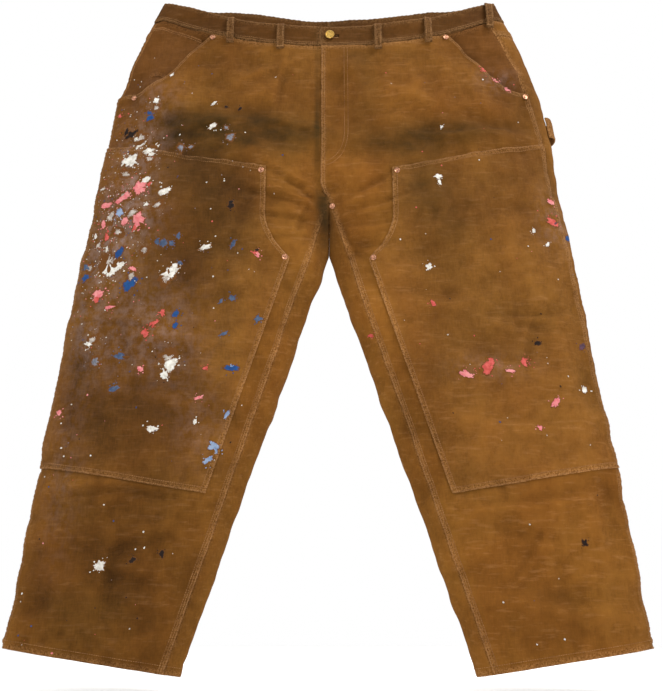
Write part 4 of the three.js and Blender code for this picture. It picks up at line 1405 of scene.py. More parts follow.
@dataclass
class Waist:
    """The waistband with its buttonhole end and underlap, and the belt loops."""

    end_edge_x: float = -0.014
    end_join_x: float = 0.086
    underlap: tuple[float, float] = (0.026, -0.040)
    hole: tuple[float, float] = (-0.003, 0.016)
    hole_half: float = 1.9 * MM
    loop_width: float = 0.013
    loop_above: float = -0.002
    loop_below: float = 0.015
    loop_thickness: float = 1.6 * MM
    loop_stand: float = 6.5 * MM
    loops: tuple[LoopPlace, ...] = (
        LoopPlace("front_right_inner", RIGHT, FRONT, 0.086), LoopPlace("front_right_outer", RIGHT, FRONT, 0.175),
        LoopPlace("front_left_inner", LEFT, FRONT, 0.086), LoopPlace("front_left_outer", LEFT, FRONT, 0.175),
        LoopPlace("side_left", LEFT, FRONT, 0.286), LoopPlace("side_right", RIGHT, BACK, 0.286),
        LoopPlace("centre_back", LEFT, BACK, 0.0),
    )
    bands: dict = field(default_factory=dict)

    def band_lift(self, lay: Lay) -> Array:
        """Gives the band's lift: folded edges that are fuller than its middle."""
        edge = np.minimum(lay.off(Edge.TOP), lay.off(Edge.BASE))
        return -BAND / 2 + 0.35 * MM * np.exp(-((edge - 4 * MM) / (3 * MM)) ** 2) + pucker(lay.x, edge, 9 * MM, 0.6 * MM)

    def band(self, name: str, side: int, start_x: float, stop: TurnLine) -> Cloth:
        """Lays out one stretch of the band."""
        return Cloth(
            name, side, start=lambda z: FORM.turn_at(np.array(start_x), z), stop=stop,
            top=FORM.waist_top, base=FORM.band_base, lift=self.band_lift, thickness=BAND,
            lowest_x=CENTRE_GAP if start_x > 0 and name != "waistband_end_cloth" else UNBOUND, pitch=3 * MM, margin=5 * MM,
        )

    def hole_kept(self, lay: Lay) -> Array:
        """Says which points are outside the buttonhole."""
        inside = (lay.x > self.hole[0]) & (lay.x < self.hole[1]) & (np.abs(lay.z - BUTTON_Z) < self.hole_half)
        return ~inside

    def build(self) -> None:
        """Makes the band, its end, the underlap and the loops."""
        to_back = lambda z: -FORM.turn_at(np.array(CENTRE_GAP), z)
        self.bands["right"] = self.band("waistband_right_cloth", RIGHT, -self.end_edge_x + CENTRE_GAP, to_back)
        self.bands["left"] = self.band("waistband_left_cloth", LEFT, self.end_join_x, to_back)
        to_edge = lambda z: FORM.turn_at(np.array(self.end_edge_x), z)
        self.bands["end"] = self.band("waistband_end_cloth", LEFT, self.end_join_x - 0.0003, to_edge)
        ride(self.bands["right"].build(BAND_FINISH, fade=0.05), "trousers", "waistband_right")
        ride(self.bands["left"].build(BAND_FINISH, fade=0.05), "trousers", "waistband_left")
        fold_open(self.bands["end"].build(BAND_FINISH, keep=self.hole_kept, fade=0.05), "waistband_end")
        underlap = Cloth(
            "waistband_underlap_cloth", LEFT,
            start=lambda z: FORM.turn_at(np.array(self.underlap[0]), z),
            stop=lambda z: FORM.turn_at(np.array(self.underlap[1]), z),
            top=lambda x, turn: FORM.waist_top(x, turn) - 1 * MM, base=FORM.band_base,
            lift=level(-BAND / 2 - LAYER_GAP - CANVAS), pitch=4 * MM, margin=5 * MM,
        )
        ride(underlap.build(BAND_FINISH), "trousers", "waistband_underlap")
        for place in self.loops:
            self.build_loop(place)

    def build_loop(self, place: LoopPlace) -> None:
        """Makes one belt loop, which stands off the band between its sewn ends."""
        half = self.loop_width / 2
        at = np.array(place.x)

        def lift(lay: Lay) -> Array:
            stand = np.sin(np.pi * np.clip(lay.fall, 0, 1)) ** 0.5
            edge = np.minimum(lay.off(Edge.START), lay.off(Edge.STOP))
            return BAND / 2 + LAYER_GAP / 2 + self.loop_stand * stand + 0.3 * MM * np.exp(-((edge - 2 * MM) / (1.5 * MM)) ** 2)

        loop = Cloth(
            f"belt_loop_{place.name}_cloth", place.side,
            start=lambda z: place.face * FORM.turn_at(at + half, z),
            stop=lambda z: place.face * FORM.turn_at(at - half, z),
            top=lambda x, turn: FORM.waist_top(at, np.array(place.face)) + self.loop_above + 0 * x,
            base=lambda x, turn: FORM.band_base(at, np.array(place.face)) - self.loop_below + 0 * x,
            lift=lift, thickness=self.loop_thickness, pitch=2 * MM, margin=3 * MM,
        )
        ride(loop.build(BAND_FINISH, fade=0.14), "trousers", f"belt_loop_{place.name}")
        self.bands[place.name] = loop

    def sew(self) -> None:
        """Sews the band's edges, the loops' rows and tacks, and the buttonhole."""
        groups = {"right": ("right_front", RIGHT), "left": ("back", LEFT), "end": ("left_front", LEFT)}
        for name, (group, side) in groups.items():
            band = self.bands[name]
            for edge, distance in ((Edge.TOP, 2.4), (Edge.BASE, 2.2), (Edge.BASE, 6.2)):
                STITCHES.row(group, side, band.line(edge, distance * MM), band.lowest_x)
        for place in self.loops:
            loop = self.bands[place.name]
            group = "back" if place.face == BACK or place.x > 0.1 else front_group(place.side)
            group = "loops"
            for edge in (Edge.START, Edge.STOP):
                STITCHES.row(group, place.side, loop.line(edge, 2.6 * MM, 0.04, 0.96))
            top = float(FORM.waist_top(np.array(place.x), np.array(place.face))) + self.loop_above
            base = float(FORM.band_base(np.array(place.x), np.array(place.face))) - self.loop_below
            for z in (top - 2.5 * MM, base + 2.5 * MM):
                STITCHES.tack(group, place.side, place.x, z, place.face, 0.8 * self.loop_width, 2.2 * MM)
        self.sew_hole()

    def sew_hole(self) -> None:
        """Sews the close stitches around the buttonhole."""
        xs = np.arange(self.hole[0], self.hole[1], 0.9 * MM)
        for sign in (1, -1):
            ends = []
            for reach in (0.6 * MM, 2.8 * MM):
                zs = np.full_like(xs, BUTTON_Z + sign * (self.hole_half + reach))
                ends.append(FORM.place(LEFT, FORM.turn_at(xs, zs), zs, 0.0))
            STITCHES.add("left_front", ends[0][0], ends[1][0], ends[0][1])


# ---- Pockets and straps ----


@dataclass
class Pockets:
    """Front pockets with facings and linings, the watch pocket, back pockets, tool pocket and hammer loop."""

    panels: Panels
    room: float = 0.010
    facing_inner_x: float = 0.196
    facing_drop: float = 0.034
    bag: tuple[float, float, float, float] = (0.186, 0.338, 0.056, -0.330)
    watch: tuple[float, float, float] = (0.228, 0.014, 0.120)
    back_x: tuple[float, float] = (0.062, 0.232)
    back_top_z: float = -0.112
    back_height: float = 0.178
    back_point: float = 0.012
    bulge: float = 7 * MM
    tool_turns: tuple[float, float] = (-0.25, -1.05)
    tool_top_z: float = -0.446
    tool_height: float = 0.170
    strap_turns: tuple[float, float] = (0.15, -0.80)
    strap_top_z: float = -0.196
    strap_height: float = 0.040
    strap_stand: float = 0.024
    pieces: dict = field(default_factory=dict)

    def facing_lift(self, lay: Lay) -> Array:
        """Gives the facing's lift, which sinks behind the pocket's mouth."""
        sunk = smooth(3 * lay.share) * smooth(3 * lay.fall)
        return -2 * CANVAS - 0.5 * MM - (self.room - CANVAS) * sunk

    def watch_lift(self, lay: Lay) -> Array:
        """Gives the watch pocket's lift, which follows the facing under it."""
        start = self.panels.outseam(RIGHT, lay.z) + 0.01
        stop = FORM.turn_at(np.array(self.facing_inner_x), lay.z)
        top = FORM.band_base(lay.x, lay.turn) - SEAM_GAP
        share = (lay.turn - start) / (stop - start)
        fall = (top - lay.z) / np.maximum(top - self.panels.mouth(lay.x) + self.facing_drop, MM)
        sunk = smooth(3 * share) * smooth(3 * fall)
        hem = ridge(lay.off(Edge.TOP), 7 * MM, 0.6 * MM)
        return -CANVAS - 0.2 * MM - (self.room - CANVAS) * sunk + hem

    def gaping(self, lay: Lay) -> Array:
        """Gives a patch pocket's lift, which stands off the cloth in the middle of its mouth."""
        share = np.clip(lay.share, 0, 1)
        edge = lay.nearest((Edge.START, Edge.STOP, Edge.BASE))
        height = 0.4 * MM + self.bulge * np.sin(np.pi * share) ** 1.1 * (1 - lay.fall ** 2)
        height += ridge(lay.off(Edge.TOP), 17 * MM, 0.7 * MM) + ridge(edge, 8 * MM, 0.5 * MM)
        return height + pucker(lay.z + lay.x, edge, 11 * MM, 0.3 * MM)

    def build(self) -> None:
        """Makes every pocket piece and the hammer loop."""
        for side in (RIGHT, LEFT):
            self.build_front_pocket(side)
            self.build_back_pocket(side)
        watch_inner, drop, depth = self.watch
        watch = Cloth(
            "watch_pocket_cloth", RIGHT,
            start=lambda z: self.panels.outseam(RIGHT, z) + 0.03, stop=lambda z: FORM.turn_at(np.array(watch_inner), z),
            top=lambda x, turn: FORM.band_base(x, np.abs(turn)) - drop,
            base=lambda x, turn: np.maximum(self.panels.mouth(x) - 12 * MM, FORM.band_base(x, np.abs(turn)) - depth),
            lift=self.watch_lift, thickness=LINING, pitch=3 * MM, margin=8 * MM,
        )
        ride(watch.build(FACING_FINISH, fade=0.1), "trousers", "watch_pocket")
        tool = Cloth(
            "tool_pocket_cloth", LEFT,
            start=lambda z: np.full_like(z, self.tool_turns[0]), stop=lambda z: np.full_like(z, self.tool_turns[1]),
            top=lambda x, turn: self.tool_top_z + 0 * x, base=lambda x, turn: self.tool_top_z - self.tool_height + 0 * x,
            lift=self.gaping,
        )
        ride(tool.build(CANVAS_FINISH, fade=0.05), "trousers", "tool_pocket_left")
        strap = Cloth(
            "hammer_loop_cloth", LEFT,
            start=lambda z: np.full_like(z, self.strap_turns[0]), stop=lambda z: np.full_like(z, self.strap_turns[1]),
            top=lambda x, turn: self.strap_top_z + 0 * x, base=lambda x, turn: self.strap_top_z - self.strap_height + 0 * x,
            lift=lambda lay: LAYER_GAP + self.strap_stand * np.sin(np.pi * np.clip(lay.share, 0, 1)) ** 0.8,
            thickness=2 * MM, pitch=3 * MM, margin=8 * MM,
        )
        ride(strap.build(CANVAS_FINISH, fade=0.1), "trousers", "hammer_loop")
        self.pieces.update(watch=watch, tool=tool, strap=strap)

    def build_front_pocket(self, side: int) -> None:
        """Makes the facing behind a pocket's mouth, and its lining."""
        name = side_name(side)
        facing = Cloth(
            f"pocket_facing_{name}_cloth", side,
            start=lambda z, s=side: self.panels.outseam(s, z) + 0.01,
            stop=lambda z: FORM.turn_at(np.array(self.facing_inner_x), z),
            top=lambda x, turn: FORM.band_base(x, np.abs(turn)) - SEAM_GAP,
            base=lambda x, turn: self.panels.mouth(x) - self.facing_drop, lift=self.facing_lift,
        )
        ride(facing.build(FACING_FINISH), "trousers", f"pocket_facing_{name}")
        inner, outer, drop, base_z = self.bag
        depth = self.room + 2 * CANVAS + 2 * LAYER_GAP + LINING
        bag = Cloth(
            f"pocket_bag_{name}_cloth", side,
            start=lambda z: FORM.turn_at(np.array(outer), z), stop=lambda z: FORM.turn_at(np.array(inner), z),
            top=lambda x, turn: FORM.band_base(x, np.abs(turn)) - drop, base=lambda x, turn: base_z + 0 * x,
            lift=lambda lay: -depth + 1.2 * MM * np.sin(lay.x / 0.012) * np.sin(lay.z / 0.019) * 0.5,
            thickness=LINING, pitch=6 * MM,
        )
        ride(bag.build(LINING_FINISH), "trousers", f"pocket_bag_{name}")

    def build_back_pocket(self, side: int) -> None:
        """Makes a patch pocket with a shallow point at its base."""
        name = side_name(side)
        inner, outer = self.back_x
        middle, half = (inner + outer) / 2, (outer - inner) / 2
        pocket = Cloth(
            f"back_pocket_{name}_cloth", side,
            start=lambda z: -FORM.turn_at(np.array(outer), z), stop=lambda z: -FORM.turn_at(np.array(inner), z),
            top=lambda x, turn: self.back_top_z + 0 * x,
            base=lambda x, turn: self.back_top_z - self.back_height + self.back_point * np.abs(x - middle) / half,
            lift=self.gaping,
        )
        ride(pocket.build(CANVAS_FINISH, fade=0.05), "trousers", f"back_pocket_{name}")
        self.pieces[f"back_{name}"] = pocket

    def sew(self) -> None:
        """Sews the pockets down and the straps' edges."""
        for name, side in (("back_right", RIGHT), ("back_left", LEFT), ("tool", LEFT)):
            pocket = self.pieces[name]
            for distance in (1.8, 7.4):
                for edge in (Edge.START, Edge.STOP, Edge.BASE):
                    STITCHES.row("back", side, pocket.line(edge, distance * MM))
            for distance in (2.0, 15.0):
                STITCHES.row("back", side, pocket.line(Edge.TOP, distance * MM))
        for distance in (2.0, 5.5):
            STITCHES.row("right_front", RIGHT, self.pieces["watch"].line(Edge.TOP, distance * MM))
            for edge in (Edge.TOP, Edge.BASE):
                STITCHES.row("back", LEFT, self.pieces["strap"].line(edge, (distance + 1) * MM))
        for edge in (Edge.START, Edge.STOP):
            STITCHES.row("back", LEFT, self.pieces["strap"].line(edge, 2.5 * MM), crowd=2.5)


# ---- Fly, zip and small metal ----


def block(low: tuple, high: tuple, bevel: float) -> tuple[Array, list]:
    """Makes the points and faces of a box with cut edges.

    Args:
        low: Its lowest corner.
        high: Its highest corner.
        bevel: The width of the cut.

    Returns:
        Points and faces.
    """
    mesh = bmesh.new()
    bmesh.ops.create_cube(mesh, size=1.0)
    for vertex in mesh.verts:
        vertex.co = [low[k] + (vertex.co[k] + 0.5) * (high[k] - low[k]) for k in range(3)]
    bmesh.ops.bevel(mesh, geom=list(mesh.edges), offset=bevel, segments=2, profile=0.6, affect="EDGES")
    mesh.verts.ensure_lookup_table()
    points = np.array([tuple(vertex.co) for vertex in mesh.verts])
    faces = [[vertex.index for vertex in face.verts] for face in mesh.faces]
    mesh.free()
    return points, faces


def gathered(name: str, parts: list[tuple[Array, list]], angle: float = 40) -> bpy.types.Object:
    """Makes one object of several sets of points and faces."""
    points, faces, count = [], [], 0
    for part_points, part_faces in parts:
        points.append(part_points)
        faces += [[number + count for number in face] for face in part_faces]
        count += len(part_points)
    return mesh_object(name, np.concatenate(points), faces, angle)


def lathe(profile: list[tuple[float, float]], sides: int, foot: Array, axis: Array, knurl: float = 0.0) -> tuple[Array, list]:
    """Turns a profile about an axis.

    Args:
        profile: Radius and height of each ring, from the foot's middle to the top's middle.
        sides: How many sides it has.
        foot: Where its base is.
        axis: Its direction.
        knurl: How deep the notches around its widest ring are.

    Returns:
        Points and faces.
    """
    axis = axis / np.linalg.norm(axis)
    across = np.cross(axis, [0.3, 0.1, 1.0])
    across /= np.linalg.norm(across)
    other = np.cross(axis, across)
    angles = np.arange(sides) * 2 * np.pi / sides
    widest = max(radius for radius, _ in profile)
    points = [foot + axis * profile[0][1]]
    for radius, height in profile[1:-1]:
        notch = knurl * (np.arange(sides) % 2) * (radius > 0.93 * widest)
        spread = (radius - notch)[:, None] if knurl else np.full((sides, 1), radius)
        points += list(foot + axis * height + spread * (np.cos(angles)[:, None] * across + np.sin(angles)[:, None] * other))
    points.append(foot + axis * profile[-1][1])
    faces, last = [], len(profile) - 3
    for k in range(sides):
        following = (k + 1) % sides
        faces.append([0, 1 + following, 1 + k])
        for ring in range(last):
            a, b = 1 + ring * sides, 1 + (ring + 1) * sides
            faces.append([a + k, a + following, b + following, b + k])
        top = 1 + last * sides
        faces.append([top + k, top + following, len(points) - 1])
    return np.array(points), faces


@dataclass
class Fly:
    """The facing, the shield, and the zip with its separate teeth."""

    panels: Panels
    facing_x: tuple[float, float] = (0.004, 0.034)
    base_z: float = -0.310
    fold_top_z: float = -0.062
    shield_x: tuple[float, float] = (-0.034, 0.016)
    shield_y: float = -0.009
    zip_top_z: float = -0.076
    zip_base_z: float = -0.300
    zip_y: float = -0.015
    tape: tuple[float, float] = (0.0020, 0.0125)
    tape_thickness: float = 0.8 * MM
    tooth_pitch: float = 2.8 * MM
    tooth_reach: tuple[float, float] = (0.0002, 0.0046)
    slider_half: float = 3.5 * MM
    slider_length: float = 9 * MM
    tab_half: float = 2.5 * MM
    tab_length: float = 22 * MM

    def strip(self, name: str, x: tuple[float, float], y: float, z: tuple[float, float], thickness: float, ripple: float) -> bpy.types.Object:
        """Makes a hanging strip of cloth with a slight ripple.

        Args:
            name: The object's name.
            x: Its two side edges.
            y: Its middle depth.
            z: Its top and base.
            thickness: Its thickness.
            ripple: How far it ripples.

        Returns:
            The object.
        """
        across, down = np.linspace(*x, 15), np.linspace(*z, 90)
        xs, zs = np.meshgrid(across, down)
        ys = y + ripple * np.sin(zs / 0.011) * np.cos(xs / 0.009)
        edge = np.minimum(np.minimum(xs - min(x), max(x) - xs), np.minimum(z[0] - zs, zs - z[1]))
        half = thickness / 2 * (0.55 + 0.45 * np.clip(edge / (0.7 * MM), 0, 1))
        front = np.stack([xs, ys - half, zs], axis=-1)
        back = np.stack([xs, ys + half, zs], axis=-1)
        piece, order = shell(name, front, back)
        add_layer(piece, "wear", 0.5 * np.exp(-edge.ravel()[order] / (2 * MM)))
        add_layer(piece, "grime_and_shadow", np.zeros(len(order)))
        add_layer(piece, "tone_and_shade", np.zeros(len(order)))
        add_layer(piece, "dust", np.zeros(len(order)))
        add_layer(piece, "seam", np.zeros(len(order)))
        return piece

    def build(self) -> None:
        """Makes the cloth pieces behind the flap, and the zip."""
        low, high = self.facing_x
        facing = Cloth(
            "fly_facing_cloth", LEFT,
            start=lambda z: FORM.turn_at(np.clip(self.panels.fly_fold_x(z) - 0.005, low + 0.002, high), z),
            stop=lambda z: FORM.turn_at(np.array(low), z),
            top=lambda x, turn: self.fold_top_z - 0.001 + 0 * x, base=lambda x, turn: self.base_z + 0 * x,
            lift=level(-CANVAS + 0.1 * MM), pitch=4 * MM, margin=4 * MM,
        )
        ride(facing.build(LINING_FINISH), "fly", "fly_facing")
        shield = self.strip("fly_shield_cloth", self.shield_x, self.shield_y - CANVAS / 2, (-0.0644, self.base_z), CANVAS, 0.5 * MM)
        CANVAS_FINISH.dress(shield)
        ride(shield, "trousers", "fly_shield")
        for side, body in ((RIGHT, "trousers"), (LEFT, "fly")):
            self.build_zip_half(side, body)
        self.build_slider()

    def build_zip_half(self, side: int, body: str) -> None:
        """Makes one tape and its row of teeth."""
        name = side_name(side)
        edges = (side * self.tape[0], side * self.tape[1])
        tape = self.strip(f"zip_tape_{name}_cloth", (min(edges), max(edges)), self.zip_y, (self.zip_top_z, self.zip_base_z), self.tape_thickness, 0.0)
        TAPE_FINISH.dress(tape)
        ride(tape, body, f"zip_tape_{name}")
        teeth = []
        offset = 0.5 * self.tooth_pitch if side == RIGHT else 0.0
        count = int((self.zip_top_z - self.zip_base_z - offset) / self.tooth_pitch)
        for k in range(count):
            z = self.zip_base_z + offset + k * self.tooth_pitch + 0.2 * MM
            near, far = self.tooth_reach
            for inner, outer, half in ((near, near + 1.8 * MM, 0.9 * MM), (near + 1.5 * MM, far, 1.25 * MM)):
                ends = sorted((side * inner, side * outer))
                teeth.append(block((ends[0], self.zip_y - half, z), (ends[1], self.zip_y + half, z + 1.4 * MM), 0.2 * MM))
        row = gathered(f"zip_teeth_{name}_row", teeth)
        BRASS_FINISH.dress(row)
        ride(row, body, f"zip_teeth_{name}")

    def build_slider(self) -> None:
        """Makes the slider, its pull tab and the bottom stop."""
        top, y, half = self.zip_top_z - 1 * MM, self.zip_y, self.slider_half
        plates = [
            block((-half, y - 2.3 * MM, top - self.slider_length), (half, y - 1.3 * MM, top), 0.35 * MM),
            block((-half, y + 1.3 * MM, top - self.slider_length), (half, y + 2.3 * MM, top), 0.35 * MM),
            block((-0.3 * MM, y - 1.8 * MM, top - 5.4 * MM), (0.3 * MM, y + 1.8 * MM, top), 0.1 * MM),
            block((-1.1 * MM, y - 2.75 * MM, top - 5.6 * MM), (1.1 * MM, y - 2.1 * MM, top - 1.4 * MM), 0.2 * MM),
        ]
        slider = gathered("zip_slider_body", plates)
        BRASS_FINISH.dress(slider)
        ride(slider, "slider", "zip_slider")
        tab_top = self.zip_top_z - self.slider_length / 2 + 0.5 * MM
        front, back = y - 3.8 * MM, y - 2.7 * MM
        wide, tip = self.tab_half, tab_top - self.tab_length
        bars = [
            block((-wide, front, tip), (wide, back, tip + 9 * MM), 0.35 * MM),
            block((-wide, front, tip + 8.6 * MM), (-wide + 1.5 * MM, back, tab_top - 1.4 * MM), 0.3 * MM),
            block((wide - 1.5 * MM, front, tip + 8.6 * MM), (wide, back, tab_top - 1.4 * MM), 0.3 * MM),
            block((-wide, front, tab_top - 2 * MM), (wide, back, tab_top), 0.35 * MM),
            block((-wide + 1 * MM, front - 0.15 * MM, tip + 2 * MM), (wide - 1 * MM, front + 0.3 * MM, tip + 7 * MM), 0.1 * MM),
        ]
        tab = gathered("zip_pull_tab_body", bars)
        BRASS_FINISH.dress(tab)
        ride(tab, "pull_tab", "zip_pull_tab")
        base = self.zip_base_z - 0.5 * MM
        stop = gathered("zip_bottom_stop_body", [
            block((-3 * MM, y - 0.9 * MM, base - 3 * MM), (3 * MM, y + 0.9 * MM, base), 0.4 * MM),
            block((-3.1 * MM, y - 1.1 * MM, base - 2.2 * MM), (3.1 * MM, y + 1.1 * MM, base - 0.8 * MM), 0.2 * MM),
        ])
        BRASS_FINISH.dress(stop)
        ride(stop, "trousers", "zip_bottom_stop")


@dataclass
class Hardware:
    """The shank button, its tack, and the rivets."""

    panels: Panels
    fronts: DoubleFronts
    pockets: Pockets
    rivet_radius: float = 4.8 * MM
    rivet_height: float = 1.6 * MM
    inset: float = 0.008
    pocket_inset: float = 0.0096

    def build(self) -> None:
        """Makes the button, the tack and the rivets."""
        self.build_button()
        mouth = self.panels.mouth
        inner_x, outer_x = self.panels.mouth_inner_x, self.panels.mouth_outer_x
        fronts, pockets = self.fronts, self.pockets
        places = {
            "pocket_upper": (inner_x, float(mouth(np.array(inner_x))) - self.inset, FRONT),
            "pocket_lower": (outer_x, float(mouth(np.array(outer_x))) - self.inset, FRONT),
            "double_front_upper": (fronts.inner_x + self.inset, fronts.top_inner_z - self.inset, FRONT),
            "double_front_lower": (float(fronts.inner_edge_x(np.array(fronts.notch_z))) + self.inset, fronts.notch_z, FRONT),
            "back_pocket_inner": (pockets.back_x[0] + self.pocket_inset, pockets.back_top_z - self.inset, BACK),
            "back_pocket_outer": (pockets.back_x[1] - self.pocket_inset, pockets.back_top_z - self.inset, BACK),
        }
        for side in (RIGHT, LEFT):
            for name, (x, z, face) in places.items():
                self.build_rivet(f"rivet_{name}_{side_name(side)}", side, x, z, face)
        self.build_rivet("rivet_crotch", LEFT, self.rivet_radius + 0.5 * MM, CROTCH_Z - self.inset, FRONT)

    def build_rivet(self, node: str, side: int, x: float, z: float, face: int) -> None:
        """Makes one rivet: a rolled rim round a dished face with a burr in its middle."""
        zs = np.array([z])
        point, normal = FORM.place(side, face * FORM.turn_at(np.array([x]), zs), zs, 0.0)
        foot = DRAPE.drop(point, normal)[0]
        r, h = self.rivet_radius, self.rivet_height
        profile = [
            (0, -0.5 * MM), (0.96 * r, -0.5 * MM), (r, 0.25 * h), (0.97 * r, 0.6 * h), (0.86 * r, 0.85 * h), (0.72 * r, 0.8 * h),
            (0.6 * r, 0.55 * h), (0.42 * r, 0.5 * h), (0.36 * r, 0.85 * h), (0.24 * r, h), (0.1 * r, 0.9 * h), (0, 0.82 * h),
        ]
        piece = gathered(f"{node}_cap", [lathe(profile, 36, foot, normal[0])], 60)
        COPPER_FINISH.dress(piece)
        ride(piece, "trousers", node)

    def build_button(self) -> None:
        """Makes the button with its ringed face and ring of small bumps, and the tack behind it."""
        low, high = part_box("waist_button")
        foot = np.array([BUTTON_X, high[1], BUTTON_Z])
        length = high[1] - low[1]
        r, cap = 8.5 * MM, 3.2 * MM
        under = length - cap
        profile = [
            (0, 0), (2.6 * MM, 0), (2.6 * MM, under), (r - 1 * MM, under), (r - 0.2 * MM, under + 0.5 * MM), (r, under + 1.2 * MM),
            (r - 0.3 * MM, under + 2.3 * MM), (r - 1.2 * MM, length), (r - 2.1 * MM, length - 0.1 * MM), (r - 2.6 * MM, length - 0.9 * MM),
            (0.52 * r, length - 1.0 * MM), (0.48 * r, length - 0.6 * MM), (0.42 * r, length - 0.6 * MM), (0.38 * r, length - 1.0 * MM),
            (0.2 * r, length - 0.8 * MM), (0, length - 0.7 * MM),
        ]
        ahead = np.array([0.0, -1.0, 0.0])
        parts = [lathe(profile, 48, foot, ahead)]
        for k in range(16):
            angle = 2 * math.pi * k / 16
            spot = foot + ahead * (length - 1.05 * MM) + 0.605 * r * np.array([math.cos(angle), 0, math.sin(angle)])
            parts.append(lathe([(0, 0), (0.45 * MM, 0), (0.4 * MM, 0.25 * MM), (0, 0.38 * MM)], 8, spot, ahead))
        button = gathered("waist_button_face", parts, 45)
        BRASS_FINISH.dress(button)
        ride(button, "button", "waist_button")
        low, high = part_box("button_tack")
        tack_profile = [(0, 0), (4.9 * MM, 0), (5.1 * MM, 0.3 * MM), (4.9 * MM, 0.8 * MM), (3 * MM, 1.3 * MM), (1.2 * MM, 1.6 * MM), (0, 1.5 * MM)]
        tack = gathered("button_tack_head", [lathe(tack_profile, 32, np.array([BUTTON_X, low[1], BUTTON_Z]), -ahead)], 50)
        BRASS_FINISH.dress(tack)
        ride(tack, "trousers", "button_tack")


# ---- Dried paint ----


class Paint(Enum):
    """The paints that have dried on the cloth."""

    WHITE = ("d6d3ca", "b5afa4")
    CHALK = ("b4aaa0", "8f857c", 0.42)
    GREY = ("7f8088", "62626a", 0.3)
    PINK = ("cf8583", "c46468")
    CORAL = ("bf554e", "a8423a")
    BLUE = ("17396a", "1d487a")
    DUSTY = ("36435c", "4d5a70")
    PALE_BLUE = ("8696af", "6c7f9e")
    PLUM = ("3f2a35", "523a46")
    BLACK = ("140c08", "24170f")

    def finish(self) -> PaintFinish:
        """Gives the paint's finish."""
        return PaintFinish(f"paint_{self.name.lower()}", "canvas", *self.value)


# Each mark is its place and its radius, in millimetres.
PAINT_MARKS = {
    Paint.CHALK: (
        (-340, -317, 11), (-337, -359, 12), (-319, -250, 12), (-322, -393, 12), (-378, -339, 7), (-360, -393, 12),
        (-281, -380, 10), (-346, -422, 11), (-358, -475, 18), (-258, -505, 14), (-315, -505, 10), (-298, -460, 9),
        (-295, -194, 8), (-300, -292, 9), (-379, -442, 8), (-390, -482, 9), (-372, -610, 10), (-250, -640, 14),
    ),
    Paint.WHITE: (
        (-273, -125, 3.5), (-296, -179, 6), (-197, -185, 4), (-198, -230, 6), (-328, -250, 4), (-320, -264, 7),
        (-300, -273, 10), (-332, -292, 12), (-342, -292, 7), (-298, -283, 5), (-303, -332, 7), (-271, -355, 9),
        (-300, -378, 4), (-201, -453, 7), (-351, -488, 15), (-337, -485, 8), (-362, -490, 7), (-254, -497, 11),
        (-248, -486, 5), (-386, -424, 4), (-362, -453, 4), (-378, -616, 5), (-245, -652, 11), (-254, -669, 7),
        (-269, -753, 7), (-204, -742, 4), (-334, -955, 8), (181, -327, 6), (183, -337, 4), (161, -486, 6),
        (335, -421, 4), (356, -445, 4), (399, -687, 6), (191, -230, 2.5),
    ),
    Paint.GREY: ((-167, -255, 8), (-174, -234, 5), (-164, -250, 5), (-251, -268, 8), (-234, -266, 5), (-365, -645, 10)),
    Paint.PINK: (
        (-312, -346, 12), (-344, -364, 8), (-334, -358, 6), (-372, -369, 8), (-311, -406, 12), (-335, -405, 7),
        (-372, -406, 6), (-314, -492, 5), (-369, -532, 9), (-348, -556, 5), (-291, -660, 5), (-200, -704, 5),
        (-416, -724, 5), (-116, -466, 5), (370, -364, 6), (398, -361, 4), (212, -668, 8), (280, -663, 5),
        (347, -712, 7), (321, -751, 4), (292, -133, 6), (310, -148, 5),
    ),
    Paint.CORAL: (
        (-362, -197, 4), (-366, -429, 6), (-371, -540, 6), (-297, -341, 4), (-317, -417, 5), (-262, -568, 5.5),
        (-274, -586, 6), (-287, -602, 7), (-191, -658, 4), (-119, -463, 4), (368, -403, 9), (165, -551, 5),
        (245, -658, 10), (252, -647, 6), (305, -647, 8), (67, -599, 4), (272, -112, 7),
    ),
    Paint.BLUE: (
        (-306, -203, 5), (-304, -214, 6), (-339, -462, 8), (-317, -519, 11), (-393, -500, 7), (-242, -569, 6),
        (-241, -589, 5), (-151, -657, 8), (397, -344, 5), (395, -426, 6),
    ),
    Paint.DUSTY: (
        (-268, -447, 7), (-278, -445, 5), (-255, -447, 5), (-244, -435, 5), (-156, -446, 6), (-324, -638, 8),
        (-330, -691, 7), (-112, -574, 6), (-154, -540, 6), (-172, -545, 4), (-240, -480, 4), (-165, -600, 5),
        (-395, -480, 5),
    ),
    Paint.PALE_BLUE: ((-345, -388, 8), (-156, -729, 5), (-174, -780, 8), (-182, -800, 6), (-151, -655, 3)),
    Paint.PLUM: ((400, -617, 6), (372, -405, 4)),
    Paint.BLACK: (
        (-337, -240, 8), (-345, -235, 5), (-161, -381, 6), (-161, -374, 4), (-152, -197, 3.5), (-176, -191, 3),
        (-117, -459, 3.5), (328, -615, 5), (376, -922, 5), (-244, -938, 5), (-286, -947, 5),
    ),
}


